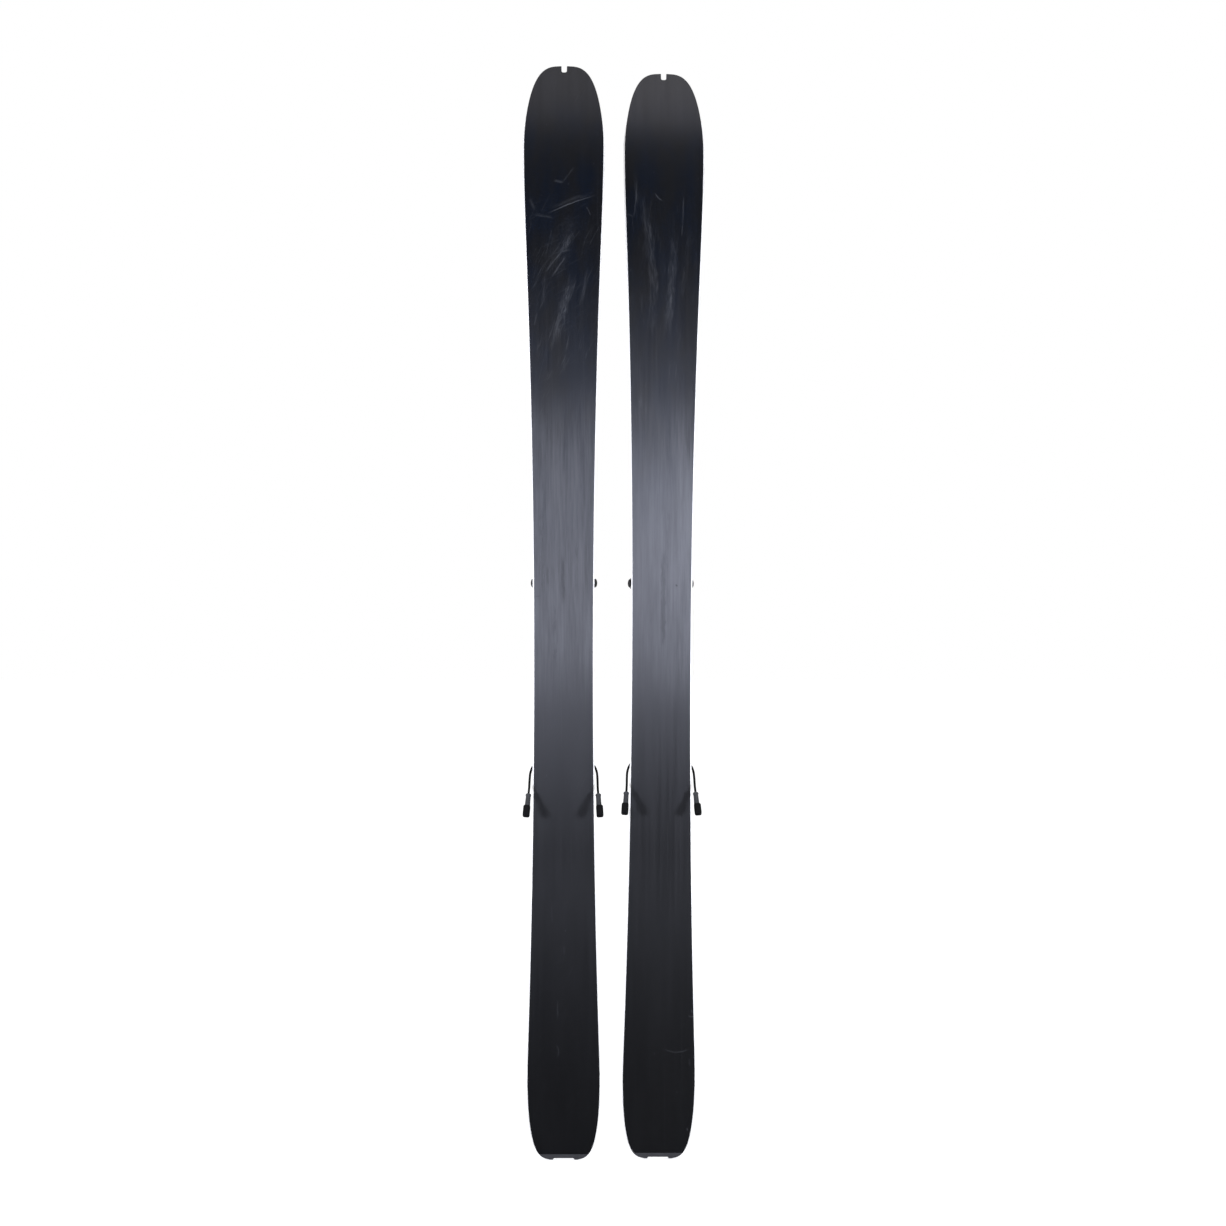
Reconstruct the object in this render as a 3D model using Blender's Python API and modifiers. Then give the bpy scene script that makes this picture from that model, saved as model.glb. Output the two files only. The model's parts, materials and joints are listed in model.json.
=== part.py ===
"""A pair of alpine touring skis, each with a pin toe piece, a turning heel piece and a ski brake.

The two skis stand side by side on their tails, tips up. Lengths are in metres.
World frame: +Z up along the skis from tail to tip, -Y is where the running bases face,
+X goes from one ski to the other. The origin is on the floor, midway between the skis.

Each ski is a laminate: a running base between two steel edges, a wood core with plastic
sidewalls and a plastic tip spacer, a top sheet, and a plastic protector across the tail.
"""

import math

import bmesh
import bpy
from mathutils import Matrix, Vector

# ---------------------------------------------------------------- driving dimensions
LENGTH = 1.780          # tail to tip, straight
TIP_WIDTH = 0.1292      # base sheet, widest point of the shovel; the steel edges add 4 mm
WAIST_WIDTH = 0.0946
TAIL_WIDTH = 0.1168
Z_TIP_WIDE = 1.648      # heights of those three widths above the tail
Z_WAIST = 0.806
Z_TAIL_WIDE = 0.1220

SPACING = 0.1597        # from one ski's centre line to the other's, at mid height
RIGHT_BACK = 0.008      # the right ski's tail stands a little behind the left one's,
RIGHT_PITCH = math.radians(1.5)  # and the ski leans back,
RIGHT_LEAN = math.radians(0.43)  # a little to the right,
RIGHT_TURN = math.radians(1.4)   # and is turned a little
RIGHT_LIFT = 0.0009              # clears the floor with the heel of its tail, since it leans
ORIGIN_X = -0.0020        # shifts that put the origin at the middle of the pair's footprint
BASE_PLANE_Y = -0.03955  # where the running plane lies, so that the origin is mid depth

CAMBER = 0.0035         # arch of the base under the boot
TIP_RISE = 0.0600       # rocker of the shovel, away from the snow
TAIL_RISE = 0.0150
Z_TIP_CONTACT = 1.380   # the base leaves the snow above this
Z_TAIL_CONTACT = 0.230
FLAT_LOW, FLAT_HIGH = 0.500, 1.050   # flat zone that carries the binding

THICK_TIP = 0.0056
THICK_BOOT = 0.0115
THICK_TAIL = 0.0060

BASE_THICK = 0.0019     # base sheet and steel edges
EDGE_WIDTH = 0.0020     # each, beside the base sheet
EDGE_END_WIDTH = 0.0005
SIDEWALL_WIDTH = 0.0030
TOP_THICK = 0.0009
GAP = 0.0003            # glue line between laminated pieces
Z_EDGE_END = 1.700      # the steel edges stop in the shovel
Z_SPACER = 1.660        # the core ends and the tip spacer begins

NOTCH_WIDTH = 0.0086    # skin notch in the tip
NOTCH_DEPTH = 0.0110
NOTCH_CORNER = 0.0030

PROTECTOR_HEIGHT = 0.0090
TAIL_NOTCH_HALF = 0.0150  # shallow recess for a skin's tail clip
TAIL_NOTCH_DEPTH = 0.0026

TOP = CAMBER + THICK_BOOT  # height of the flat binding zone above the running plane

# toe piece
Z_PINS = 0.934
JAW_X, JAW_Y = 0.024, TOP + 0.0115       # axis of each jaw
JAW_OPEN = math.radians(18)              # the jaws rest open, ready for a boot
Z_LEVER, LEVER_Y = Z_PINS + 0.035, TOP + 0.0125   # axis of the toe lever
LEVER_REST = math.radians(6)

# heel piece
Z_TURRET = 0.612
HEEL_PIN_X = 0.0135
HEEL_PIN_Y = 0.033
RISER_Y, RISER_Z = 0.0465, 0.001         # riser hinge, from the turret's axis and the top sheet

# brake
Z_BRAKE, BRAKE_Y = 0.668, TOP + 0.0100   # brake axis
PEDAL_RAISE = math.radians(36)
WIRE_R = 0.0020

SCREW_R = 0.0023
SCREW_HOLE_R = 0.0028
TOE_SCREWS = ((-0.017, -0.040), (0.017, -0.040), (-0.0225, 0.0375), (0.0225, 0.0375))  # from the pins
HEEL_SCREWS = ((-0.018, 0.640), (0.018, 0.640), (0.0, 0.5815))
PLATE_TOP = TOP + 0.0053

# ---------------------------------------------------------------- the ski's shape


def smooth(t):
    t = min(1.0, max(0.0, t))
    return t * t * (3 - 2 * t)


def sidecut(t, gain, ease):
    """0 at the waist, 1 at the widest point: a parabola that eases out level."""
    if t < ease:
        return gain * t * t
    f0, m0 = gain * ease * ease, 2 * gain * ease * (1 - ease)
    u = (t - ease) / (1 - ease)
    return (
        f0 * (2 * u**3 - 3 * u**2 + 1) + m0 * (u**3 - 2 * u**2 + u) + (3 * u**2 - 2 * u**3)
    )


def sheet_half(z):
    """Half the width of the base sheet; the steel edges lie outside it."""
    if z > Z_TIP_WIDE:
        s = min(1.0, (z - Z_TIP_WIDE) / (LENGTH - Z_TIP_WIDE))
        return max(0.0085, TIP_WIDTH / 2 * (1 - s**1.7) ** (1 / 3.46))
    if z > Z_WAIST:
        t = (z - Z_WAIST) / (Z_TIP_WIDE - Z_WAIST)
        return (WAIST_WIDTH + (TIP_WIDTH - WAIST_WIDTH) * sidecut(t, 1.165, 0.783)) / 2
    if z > Z_TAIL_WIDE:
        t = (Z_WAIST - z) / (Z_WAIST - Z_TAIL_WIDE)
        return (WAIST_WIDTH + (TAIL_WIDTH - WAIST_WIDTH) * sidecut(t, 1.08, 0.878)) / 2
    s = min(1.0, (Z_TAIL_WIDE - z) / Z_TAIL_WIDE)
    return max(0.0240, TAIL_WIDTH / 2 * (1 - s**1.8) ** (1 / 5.42))


def edge_width(z):
    """The steel edges thin out towards both ends."""
    fade = smooth((z - PROTECTOR_HEIGHT) / 0.022) * (1 - smooth((z - Z_SPACER + 0.005) / (Z_EDGE_END - Z_SPACER)))
    return EDGE_END_WIDTH + (EDGE_WIDTH - EDGE_END_WIDTH) * fade


def half_width(z):
    """Sidewalls and top sheet, a little narrower than the steel edges."""
    return sheet_half(z) + 0.6 * (edge_width(z) - EDGE_END_WIDTH)


def base_y(z):
    """The running surface: level under the boot, camber, then tip and tail rocker."""
    if z > Z_TIP_CONTACT:
        return TIP_RISE * ((z - Z_TIP_CONTACT) / (LENGTH - Z_TIP_CONTACT)) ** 2.4
    if z < Z_TAIL_CONTACT:
        return TAIL_RISE * ((Z_TAIL_CONTACT - z) / Z_TAIL_CONTACT) ** 2.2
    if z > FLAT_HIGH:
        return CAMBER * smooth((Z_TIP_CONTACT - z) / (Z_TIP_CONTACT - FLAT_HIGH))
    if z < FLAT_LOW:
        return CAMBER * smooth((z - Z_TAIL_CONTACT) / (FLAT_LOW - Z_TAIL_CONTACT))
    return CAMBER


def thickness(z):
    if z > FLAT_HIGH:
        return THICK_TIP + (THICK_BOOT - THICK_TIP) * smooth((1.62 - z) / (1.62 - FLAT_HIGH))
    if z < FLAT_LOW:
        return THICK_TAIL + (THICK_BOOT - THICK_TAIL) * smooth((z - 0.06) / (FLAT_LOW - 0.06))
    return THICK_BOOT


def top_y(z):
    return base_y(z) + thickness(z)


def stations(z0, z1):
    """Cross sections from z0 to z1: close together where the outline turns."""
    zs = [Z_TAIL_WIDE * (1 - s) for s in (0.95, 0.92, 0.88, 0.85, 0.82, 0.78, 0.74, 0.62, 0.46, 0.25)]
    zs += [Z_TAIL_WIDE, 0.170, 0.230, 0.320, 0.410, FLAT_LOW, 0.640, Z_WAIST]
    zs += [0.930, FLAT_HIGH, 1.150, 1.250, 1.320, Z_TIP_CONTACT, 1.440, 1.490, 1.530]
    zs += [1.565, 1.595, 1.618, Z_TIP_WIDE]
    tip = LENGTH - Z_TIP_WIDE
    zs += [Z_SPACER, 1.682, Z_EDGE_END, Z_EDGE_END + 0.001, Z_EDGE_END + 0.009]
    zs += [Z_TIP_WIDE + tip * s for s in (0.62, 0.72, 0.8, 0.87, 0.92, 0.955, 0.98, 0.994)]
    zs = [z for z in zs if z0 + 0.0008 < z < z1 - 0.0008]
    return [z0, *zs, z1]


# ---------------------------------------------------------------- scene and helpers
for old in list(bpy.data.objects):
    bpy.data.objects.remove(old)


def collection(name):
    made = bpy.data.collections.new(name)
    bpy.context.scene.collection.children.link(made)
    return made


PARTS = collection("touring_skis")
CUTTERS = collection("cutters")
CUTTERS.hide_render = True


def material(name, colour, roughness, metallic=0.0):
    made = bpy.data.materials.new(name)
    made.use_nodes = True
    shader = made.node_tree.nodes["Principled BSDF"]
    shader.inputs["Base Color"].default_value = (*colour, 1.0)
    shader.inputs["Roughness"].default_value = roughness
    shader.inputs["Metallic"].default_value = metallic
    return made


BASE_BLACK = material("sintered_base", (0.016, 0.017, 0.020), 0.35)
STEEL = material("edge_steel", (0.42, 0.42, 0.43), 0.30, 1.0)
PLASTIC_PALE = material("sidewall_plastic", (0.62, 0.63, 0.65), 0.45)
WOOD = material("core_wood", (0.55, 0.38, 0.20), 0.65)
TOPSHEET = material("topsheet", (0.035, 0.040, 0.050), 0.30)
PLASTIC_GREY = material("protector_plastic", (0.06, 0.06, 0.065), 0.50)
PLASTIC_BLACK = material("binding_plastic", (0.020, 0.020, 0.022), 0.48)
ALLOY_BLACK = material("anodised_alloy", (0.030, 0.030, 0.033), 0.32, 0.9)
ALLOY = material("bright_alloy", (0.60, 0.61, 0.63), 0.28, 1.0)
PIN_STEEL = material("pin_steel", (0.55, 0.55, 0.56), 0.22, 1.0)
WIRE_BLACK = material("coated_wire", (0.018, 0.018, 0.019), 0.38, 0.3)
SCREW_STEEL = material("screw_steel", (0.30, 0.30, 0.31), 0.30, 1.0)


def frame(name, parent, location, rotation=(0.0, 0.0, 0.0)):
    """An empty: a ski's own frame, or the axis that a moving piece turns about."""
    made = bpy.data.objects.new(name, None)
    PARTS.objects.link(made)
    made.empty_display_size = 0.02
    made.parent = parent
    made.location = location
    made.rotation_euler = rotation
    return made


def show(name, data, parent, mat=None):
    """Links an object. Without a material it is a cutter or a piece to be joined."""
    obj = bpy.data.objects.new(name, data)
    (PARTS if mat else CUTTERS).objects.link(obj)
    obj.parent = parent
    if mat:
        data.materials.append(mat)
    else:
        obj.hide_render = True
        obj.display_type = "WIRE"
    return obj


def from_bmesh(name, bm, parent, mat=None, smooth_angle=None, turn_out=True):
    if turn_out:
        bmesh.ops.recalc_face_normals(bm, faces=bm.faces)
    data = bpy.data.meshes.new(name)
    bm.to_mesh(data)
    bm.free()
    if smooth_angle:
        data.shade_smooth()
        data.set_sharp_from_angle(angle=math.radians(smooth_angle))
    return show(name, data, parent, mat)


def plank(name, parent, mat, z0, z1, xa, xb, ya, yb, flip=1):
    """A long laminated piece: a box cut into stations, each moved to the ski's section there."""
    bm = bmesh.new()
    bmesh.ops.create_cube(bm, size=1.0)
    bmesh.ops.translate(bm, verts=bm.verts, vec=(0, 0, 0.5))
    bmesh.ops.scale(bm, verts=bm.verts, vec=(1, 1, z1 - z0))
    bmesh.ops.translate(bm, verts=bm.verts, vec=(0, 0, z0))
    for z in stations(z0, z1)[1:-1]:
        bmesh.ops.bisect_plane(
            bm, geom=bm.verts[:] + bm.edges[:] + bm.faces[:], plane_co=(0, 0, z), plane_no=(0, 0, 1)
        )
    for v in bm.verts:
        z = v.co.z
        v.co.x = flip * (xa(z) if v.co.x < 0 else xb(z))
        v.co.y = ya(z) if v.co.y < 0 else yb(z)
    if flip < 0:
        bmesh.ops.reverse_faces(bm, faces=bm.faces)
    return from_bmesh(name, bm, parent, mat, turn_out=False)


def block(name, parent, mat, low, high, chamfer=0.0, top=None):
    """A box between two corners. top=(x scale, z scale, x shift) narrows its upper (+Y) face."""
    low, high = Vector(low), Vector(high)
    bm = bmesh.new()
    bmesh.ops.create_cube(bm, size=1.0)
    for v in bm.verts:
        if top and v.co.y > 0:
            v.co.x = v.co.x * top[0] + top[2] / (high.x - low.x)
            v.co.z *= top[1]
    bmesh.ops.scale(bm, verts=bm.verts, vec=high - low)
    bmesh.ops.translate(bm, verts=bm.verts, vec=(low + high) / 2)
    obj = from_bmesh(name, bm, parent, mat)
    if chamfer:
        bevel = obj.modifiers.new("chamfer", "BEVEL")
        bevel.width = chamfer
        bevel.segments = 1
    return obj


def rod(name, parent, mat, start, end, radius, end_radius=None, sides=14):
    start, end = Vector(start), Vector(end)
    along = end - start
    bm = bmesh.new()
    bmesh.ops.create_cone(
        bm,
        cap_ends=True,
        segments=sides,
        radius1=radius,
        radius2=radius if end_radius is None else end_radius,
        depth=along.length,
    )
    turn = Vector((0, 0, 1)).rotation_difference(along.normalized()).to_matrix().to_4x4()
    bmesh.ops.transform(bm, verts=bm.verts, matrix=Matrix.Translation((start + end) / 2) @ turn)
    return from_bmesh(name, bm, parent, mat, smooth_angle=40)


def rounded_corners(half_x, z0, z1, radius, steps=3):
    """Corners of a rounded rectangle in the ski's plane, as (x, z)."""
    points = []
    for cx, cz, start in (
        (half_x - radius, z1 - radius, 0),
        (-half_x + radius, z1 - radius, 90),
        (-half_x + radius, z0 + radius, 180),
        (half_x - radius, z0 + radius, 270),
    ):
        for i in range(steps + 1):
            a = math.radians(start + 90 * i / steps)
            points.append((cx + radius * math.cos(a), cz + radius * math.sin(a)))
    return points


def sheet(name, parent, mat, points, y0, y1):
    """A flat outline in the ski's plane, from height y0 to y1: a filled 2D curve, extruded."""
    curve = bpy.data.curves.new(name + "_outline", "CURVE")
    curve.dimensions = "2D"
    curve.fill_mode = "BOTH"
    curve.extrude = (y1 - y0) / 2
    line = curve.splines.new("POLY")
    line.points.add(len(points) - 1)
    for p, (x, z) in zip(line.points, points, strict=True):
        p.co = (x, z, 0, 1)
    line.use_cyclic_u = True
    guide = bpy.data.objects.new(name + "_outline", curve)
    CUTTERS.objects.link(guide)
    bpy.context.view_layer.update()
    data = bpy.data.meshes.new_from_object(
        guide.evaluated_get(bpy.context.evaluated_depsgraph_get())
    )
    bpy.data.objects.remove(guide)
    bm = bmesh.new()
    bm.from_mesh(data)
    bmesh.ops.remove_doubles(bm, verts=bm.verts, dist=0.00002)
    # the curve lies in XY: stand it in the ski's XZ plane at its height
    bmesh.ops.transform(
        bm,
        verts=bm.verts,
        matrix=Matrix.Translation((0, (y0 + y1) / 2, 0)) @ Matrix.Rotation(math.pi / 2, 4, "X"),
    )
    return from_bmesh(name, bm, parent, mat)


def turned(name, parent, mat, profile, location, steps=12):
    """A turned piece: its (radius, height) profile runs from the top down, heights along +Y."""
    data = bpy.data.meshes.new(name)
    bm = bmesh.new()
    verts = [bm.verts.new((r, 0, h)) for r, h in profile]
    for a, b in zip(verts, verts[1:]):
        bm.edges.new((a, b))
    bm.to_mesh(data)
    bm.free()
    obj = show(name, data, parent, mat)
    screw = obj.modifiers.new("turn", "SCREW")
    screw.steps = screw.render_steps = steps
    screw.use_merge_vertices = True
    screw.merge_threshold = 0.00005
    screw.use_smooth_shade = False
    obj.rotation_euler = (-math.pi / 2, 0, 0)
    obj.location = location
    return obj


def smooth_line(points, each=4):
    """A smooth line through the route's own points (Catmull-Rom)."""
    pts = [Vector(p) for p in points]
    pts = [2 * pts[0] - pts[1], *pts, 2 * pts[-1] - pts[-2]]
    line = []
    for i in range(1, len(pts) - 2):
        a, b, c, d = pts[i - 1 : i + 3]
        for k in range(each):
            t = k / each
            line.append(
                0.5 * (2 * b + (c - a) * t + (2 * a - 5 * b + 4 * c - d) * t * t + (3 * b - a - 3 * c + d) * t**3)
            )
    line.append(pts[-2])
    return line


def wire(name, parent, mat, points, radius, resolution=2):
    """A bent wire: a curve with a round section and filled ends."""
    curve = bpy.data.curves.new(name, "CURVE")
    curve.dimensions = "3D"
    curve.bevel_depth = radius
    curve.bevel_resolution = resolution
    curve.use_fill_caps = True
    line = curve.splines.new("POLY")
    line.points.add(len(points) - 1)
    for p, co in zip(line.points, points, strict=True):
        p.co = (*co, 1)
    return show(name, curve, parent, mat)


def wire_mesh(name, parent, points, radius, resolution=2):
    """The same wire as a closed mesh, to cut a channel with."""
    guide = wire(name + "_line", parent, None, points, radius, resolution)
    bpy.context.view_layer.update()
    data = bpy.data.meshes.new_from_object(
        guide.evaluated_get(bpy.context.evaluated_depsgraph_get())
    )
    bpy.data.objects.remove(guide)
    bm = bmesh.new()
    bm.from_mesh(data)
    bpy.data.meshes.remove(data)
    bmesh.ops.remove_doubles(bm, verts=bm.verts, dist=0.00002)
    return from_bmesh(name, bm, parent)


def cut(obj, *cutters):
    for c in cutters:
        m = obj.modifiers.new("cut_" + c.name, "BOOLEAN")
        m.operation, m.object = "DIFFERENCE", c
    return obj


def join(obj, *others):
    for o in others:
        m = obj.modifiers.new("join_" + o.name, "BOOLEAN")
        m.operation, m.object = "UNION", o
    return obj


# ---------------------------------------------------------------- one ski


def build_ski(side, location, pitch=0.0, lean=0.0, turn=0.0):
    n = side + "_ski_"
    ski = frame(side + "_ski_frame", None, location, (-pitch, lean, turn))
    z_low = PROTECTOR_HEIGHT + GAP

    # laminate
    def inner(z):
        return sheet_half(z) - GAP

    def core_x(z):
        return half_width(z) - SIDEWALL_WIDTH - GAP

    def core_low(z):
        return base_y(z) + BASE_THICK + GAP

    def core_high(z):
        return top_y(z) - TOP_THICK - GAP

    def edge_top(z):
        return base_y(z) + BASE_THICK

    running_base = plank(
        n + "base", ski, BASE_BLACK, z_low, LENGTH, lambda z: -inner(z), inner, base_y, edge_top
    )
    core = plank(
        n + "core", ski, WOOD, z_low, Z_SPACER, lambda z: -core_x(z), core_x, core_low, core_high
    )
    spacer = plank(
        n + "tip_spacer", ski, PLASTIC_BLACK, Z_SPACER + GAP, LENGTH,
        lambda z: -half_width(z), half_width, core_low, core_high,
    )
    top = plank(
        n + "topsheet", ski, TOPSHEET, z_low, LENGTH,
        lambda z: -half_width(z), half_width, lambda z: top_y(z) - TOP_THICK, top_y,
    )
    for flip, hand in ((-1, "left"), (1, "right")):
        plank(
            n + "edge_" + hand, ski, STEEL, z_low, Z_EDGE_END,
            sheet_half, lambda z: sheet_half(z) + edge_width(z), base_y, edge_top, flip,
        )
        plank(
            n + "sidewall_" + hand, ski, PLASTIC_PALE, z_low, Z_SPACER,
            lambda z: half_width(z) - SIDEWALL_WIDTH, half_width, core_low, core_high, flip,
        )

    # notch in the tip for a skin's hook
    notch = sheet(
        n + "tip_notch", ski, None,
        rounded_corners(NOTCH_WIDTH / 2, LENGTH - NOTCH_DEPTH, LENGTH + 0.03, NOTCH_CORNER),
        0.035, 0.085,
    )
    for piece in (running_base, spacer, top):
        cut(piece, notch)

    # tail protector with its shallow clip recess
    protector = plank(
        n + "tail_protector", ski, PLASTIC_GREY, 0.0, PROTECTOR_HEIGHT,
        lambda z: -half_width(z), half_width, base_y, top_y,
    )
    cut(
        protector,
        block(
            n + "tail_recess", ski, None,
            (-TAIL_NOTCH_HALF, 0.0, -0.010), (TAIL_NOTCH_HALF, 0.040, TAIL_NOTCH_DEPTH),
        ),
    )

    # screws through the plates into the core
    head = [
        (0.0, 0.0022),
        (0.0040, 0.0014),
        (0.0040, GAP),
        (SCREW_R, GAP),
        (SCREW_R, -0.0118),
        (0.0, -0.0134),
    ]

    def fasten(plate, label, places):
        for i, (x, z) in enumerate(places, 1):
            name = n + label + "_%d" % i
            turned(name, ski, SCREW_STEEL, head, (x, PLATE_TOP, z), 10)
            hole = rod(
                name + "_hole", ski, None, (x, TOP - 0.0088, z), (x, PLATE_TOP + 0.01, z), SCREW_HOLE_R, sides=8
            )
            for piece in (plate, top, core):
                cut(piece, hole)

    # toe piece: plate with two cross walls that carry the jaws, and ears for the lever
    toe = sheet(
        n + "toe_plate", ski, ALLOY_BLACK, rounded_corners(0.031, Z_PINS - 0.053, Z_PINS + 0.051, 0.009),
        TOP + GAP, PLATE_TOP,
    )
    fasten(toe, "toe_screw", [(x, Z_PINS + z) for x, z in TOE_SCREWS])
    for z0, z1, label in ((-0.0235, -0.0185, "rear"), (0.0185, 0.0235, "front")):
        join(
            toe,
            block(
                n + "toe_wall_" + label, ski, None,
                (-0.0305, TOP + 0.0040, Z_PINS + z0), (0.0305, TOP + 0.0185, Z_PINS + z1), 0.0015,
            ),
        )
    for s in (-1, 1):
        label = "left" if s < 0 else "right"
        xs = sorted((s * 0.0100, s * 0.0142))
        join(
            toe,
            block(
                n + "toe_ear_" + label, ski, None,
                (xs[0], TOP + 0.0040, Z_PINS + 0.0220), (xs[1], LEVER_Y + 0.0052, Z_LEVER + 0.0060), 0.0012,
            ),
        )
        cut(
            toe,
            rod(
                n + "jaw_bore_" + label, ski, None,
                (s * JAW_X, JAW_Y, Z_PINS - 0.031), (s * JAW_X, JAW_Y, Z_PINS + 0.031), 0.0044,
            ),
        )
    cut(
        toe,
        rod(n + "lever_bore", ski, None, (-0.020, LEVER_Y, Z_LEVER), (0.020, LEVER_Y, Z_LEVER), 0.0025, sides=10),
    )

    # jaws: each swings about its own axis along the ski, and holds one pin
    for s, hand in ((-1, "left"), (1, "right")):
        axis = frame(n + "jaw_axis_" + hand, ski, (s * JAW_X, JAW_Y, Z_PINS), (0, 0, -s * JAW_OPEN))
        jaw = rod(
            n + "toe_jaw_" + hand, axis, ALLOY_BLACK, (0, 0, -0.0180), (0, 0, 0.0180), 0.0054
        )
        trunnion = rod(n + "jaw_trunnion_" + hand, axis, None, (0, 0, -0.0226), (0, 0, 0.0226), 0.0040)
        xs = sorted((s * -0.0045, s * 0.0045))
        arm = block(
            n + "jaw_arm_" + hand, axis, None,
            (xs[0], -0.0010, -0.0150), (xs[1], 0.0290, 0.0150), 0.0, (0.95, 0.56, s * 0.0146),
        )
        boss = rod(
            n + "jaw_boss_" + hand, axis, None, (s * 0.0095, 0.0225, 0), (s * 0.0200, 0.0225, 0), 0.0072
        )
        dome = rod(
            n + "jaw_dome_" + hand, axis, None,
            (s * 0.0196, 0.0225, 0), (s * 0.0230, 0.0225, 0), 0.0070, 0.0040,
        )
        pin = rod(
            n + "jaw_pin_" + hand, axis, None,
            (s * 0.0110, 0.0225, 0), (s * 0.0038, 0.0225, 0), 0.0027, 0.0017, sides=10,
        )
        xs = sorted((s * -0.0125, s * -0.0030))
        tail = block(
            n + "jaw_tail_" + hand, axis, None, (xs[0], -0.0024, -0.0060), (xs[1], 0.0024, 0.0060)
        )
        join(jaw, trunnion, arm, boss, dome, pin, tail)

    # spring between the jaws' inner ends
    turns, each, half = 4, 8, 0.0108
    coil = []
    for i in range(turns * each + 1):
        a = 2 * math.pi * i / each
        coil.append(
            (
                -half + 2 * half * i / (turns * each),
                JAW_Y + 0.0038 * math.cos(a),
                Z_PINS + 0.0038 * math.sin(a),
            )
        )
    wire(n + "toe_spring", ski, PIN_STEEL, coil, 0.0007, 1)

    # toe lever
    axis = frame(n + "lever_axis", ski, (0, LEVER_Y, Z_LEVER), (LEVER_REST, 0, 0))
    lever = block(
        n + "toe_lever", axis, PLASTIC_BLACK, (-0.0088, -0.0024, 0.0010), (0.0088, 0.0024, 0.0500), 0.0010
    )
    hub = rod(n + "lever_hub", axis, None, (-0.0093, 0, 0), (0.0093, 0, 0), 0.0050)
    stubs = rod(n + "lever_stubs", axis, None, (-0.0140, 0, 0), (0.0140, 0, 0), 0.0021, sides=10)
    pad = block(
        n + "lever_pad", axis, None, (-0.0150, -0.0018, 0.0420), (0.0150, 0.0046, 0.0660), 0.0016
    )
    cup = rod(n + "lever_cup", axis, None, (0, 0.0022, 0.0540), (0, 0.0080, 0.0540), 0.0062)
    cut(join(lever, hub, stubs, pad), cup)

    # heel base with the post that the turret turns on
    heel = sheet(
        n + "heel_plate", ski, ALLOY_BLACK, rounded_corners(0.0255, 0.5720, 0.6515, 0.008),
        TOP + GAP, PLATE_TOP,
    )
    fasten(heel, "heel_screw", HEEL_SCREWS)
    join(heel, rod(n + "heel_post", ski, None, (0, TOP + 0.0040, Z_TURRET), (0, TOP + 0.0195, Z_TURRET), 0.0080))

    # turret: round housing, spring barrel, pin block and the riser's lug
    axis = frame(n + "turret_axis", ski, (0, TOP, Z_TURRET))
    turret = rod(n + "heel_turret", axis, PLASTIC_BLACK, (0, 0.0057, 0), (0, 0.0330, 0), 0.0170, sides=20)
    barrel = rod(n + "turret_barrel", axis, None, (0, 0.0300, -0.0370), (0, 0.0300, 0.0180), 0.0125, sides=16)
    front = block(n + "turret_front", axis, None, (-0.0190, 0.0190, 0.0070), (0.0190, 0.0410, 0.0230), 0.0020)
    lug = block(n + "turret_lug", axis, None, (-0.0090, 0.0360, -0.0042), (0.0090, 0.0505, 0.0062), 0.0015)
    join(turret, barrel, front, lug)
    post_bore = rod(n + "turret_bore", axis, None, (0, -0.0100, 0), (0, 0.0200, 0), 0.0084)
    riser_bore = rod(
        n + "riser_bore", axis, None, (-0.0200, RISER_Y, RISER_Z), (0.0200, RISER_Y, RISER_Z), 0.0025, sides=10
    )

    def fork(reach):
        return [
            (-HEEL_PIN_X, HEEL_PIN_Y, reach),
            (-HEEL_PIN_X, HEEL_PIN_Y, 0.0175),
            (-HEEL_PIN_X + 0.0012, HEEL_PIN_Y, 0.0147),
            (-HEEL_PIN_X + 0.0040, HEEL_PIN_Y, 0.0135),
            (HEEL_PIN_X - 0.0040, HEEL_PIN_Y, 0.0135),
            (HEEL_PIN_X - 0.0012, HEEL_PIN_Y, 0.0147),
            (HEEL_PIN_X, HEEL_PIN_Y, 0.0175),
            (HEEL_PIN_X, HEEL_PIN_Y, reach),
        ]

    cut(turret, post_bore, riser_bore, wire_mesh(n + "fork_channel", axis, fork(0.0450), 0.0029))
    wire(n + "heel_pins", axis, PIN_STEEL, fork(0.0345), 0.0025)

    # riser flap: a fork round the lug, folded back over the barrel
    axis = frame(n + "riser_axis", ski, (0, TOP + RISER_Y, Z_TURRET + RISER_Z))
    riser = block(
        n + "riser_flap", axis, ALLOY, (-0.0135, -0.0020, -0.0460), (0.0135, 0.0026, -0.0065), 0.0010
    )
    for s in (-1, 1):
        label = "left" if s < 0 else "right"
        xs = sorted((s * 0.0095, s * 0.0135))
        join(
            riser,
            block(n + "riser_arm_" + label, axis, None, (xs[0], -0.0022, -0.0080), (xs[1], 0.0030, 0.0)),
            rod(n + "riser_eye_" + label, axis, None, (xs[0], 0, 0), (xs[1], 0, 0), 0.0040, sides=12),
        )
    join(riser, rod(n + "riser_pin", axis, None, (-0.0125, 0, 0), (0.0125, 0, 0), 0.0021, sides=10))

    # brake: bracket, pedal, one bent wire and a foot on each end
    bracket = sheet(
        n + "brake_bracket", ski, PLASTIC_BLACK, rounded_corners(0.0265, 0.6560, 0.7060, 0.006),
        TOP + GAP, TOP + 0.0043,
    )
    axle = Vector((0, BRAKE_Y, Z_BRAKE))
    for s in (-1, 1):
        label = "left" if s < 0 else "right"
        xs = sorted((s * 0.0200, s * 0.0262))
        join(
            bracket,
            block(
                n + "brake_lug_" + label, ski, None,
                (xs[0], TOP + 0.0030, Z_BRAKE - 0.0085), (xs[1], TOP + 0.0158, Z_BRAKE + 0.0080), 0.0012,
            ),
        )
    cut(
        bracket,
        rod(n + "brake_bore", ski, None, axle + Vector((-0.034, 0, 0)), axle + Vector((0.034, 0, 0)), 0.0025, sides=12),
    )

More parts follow.
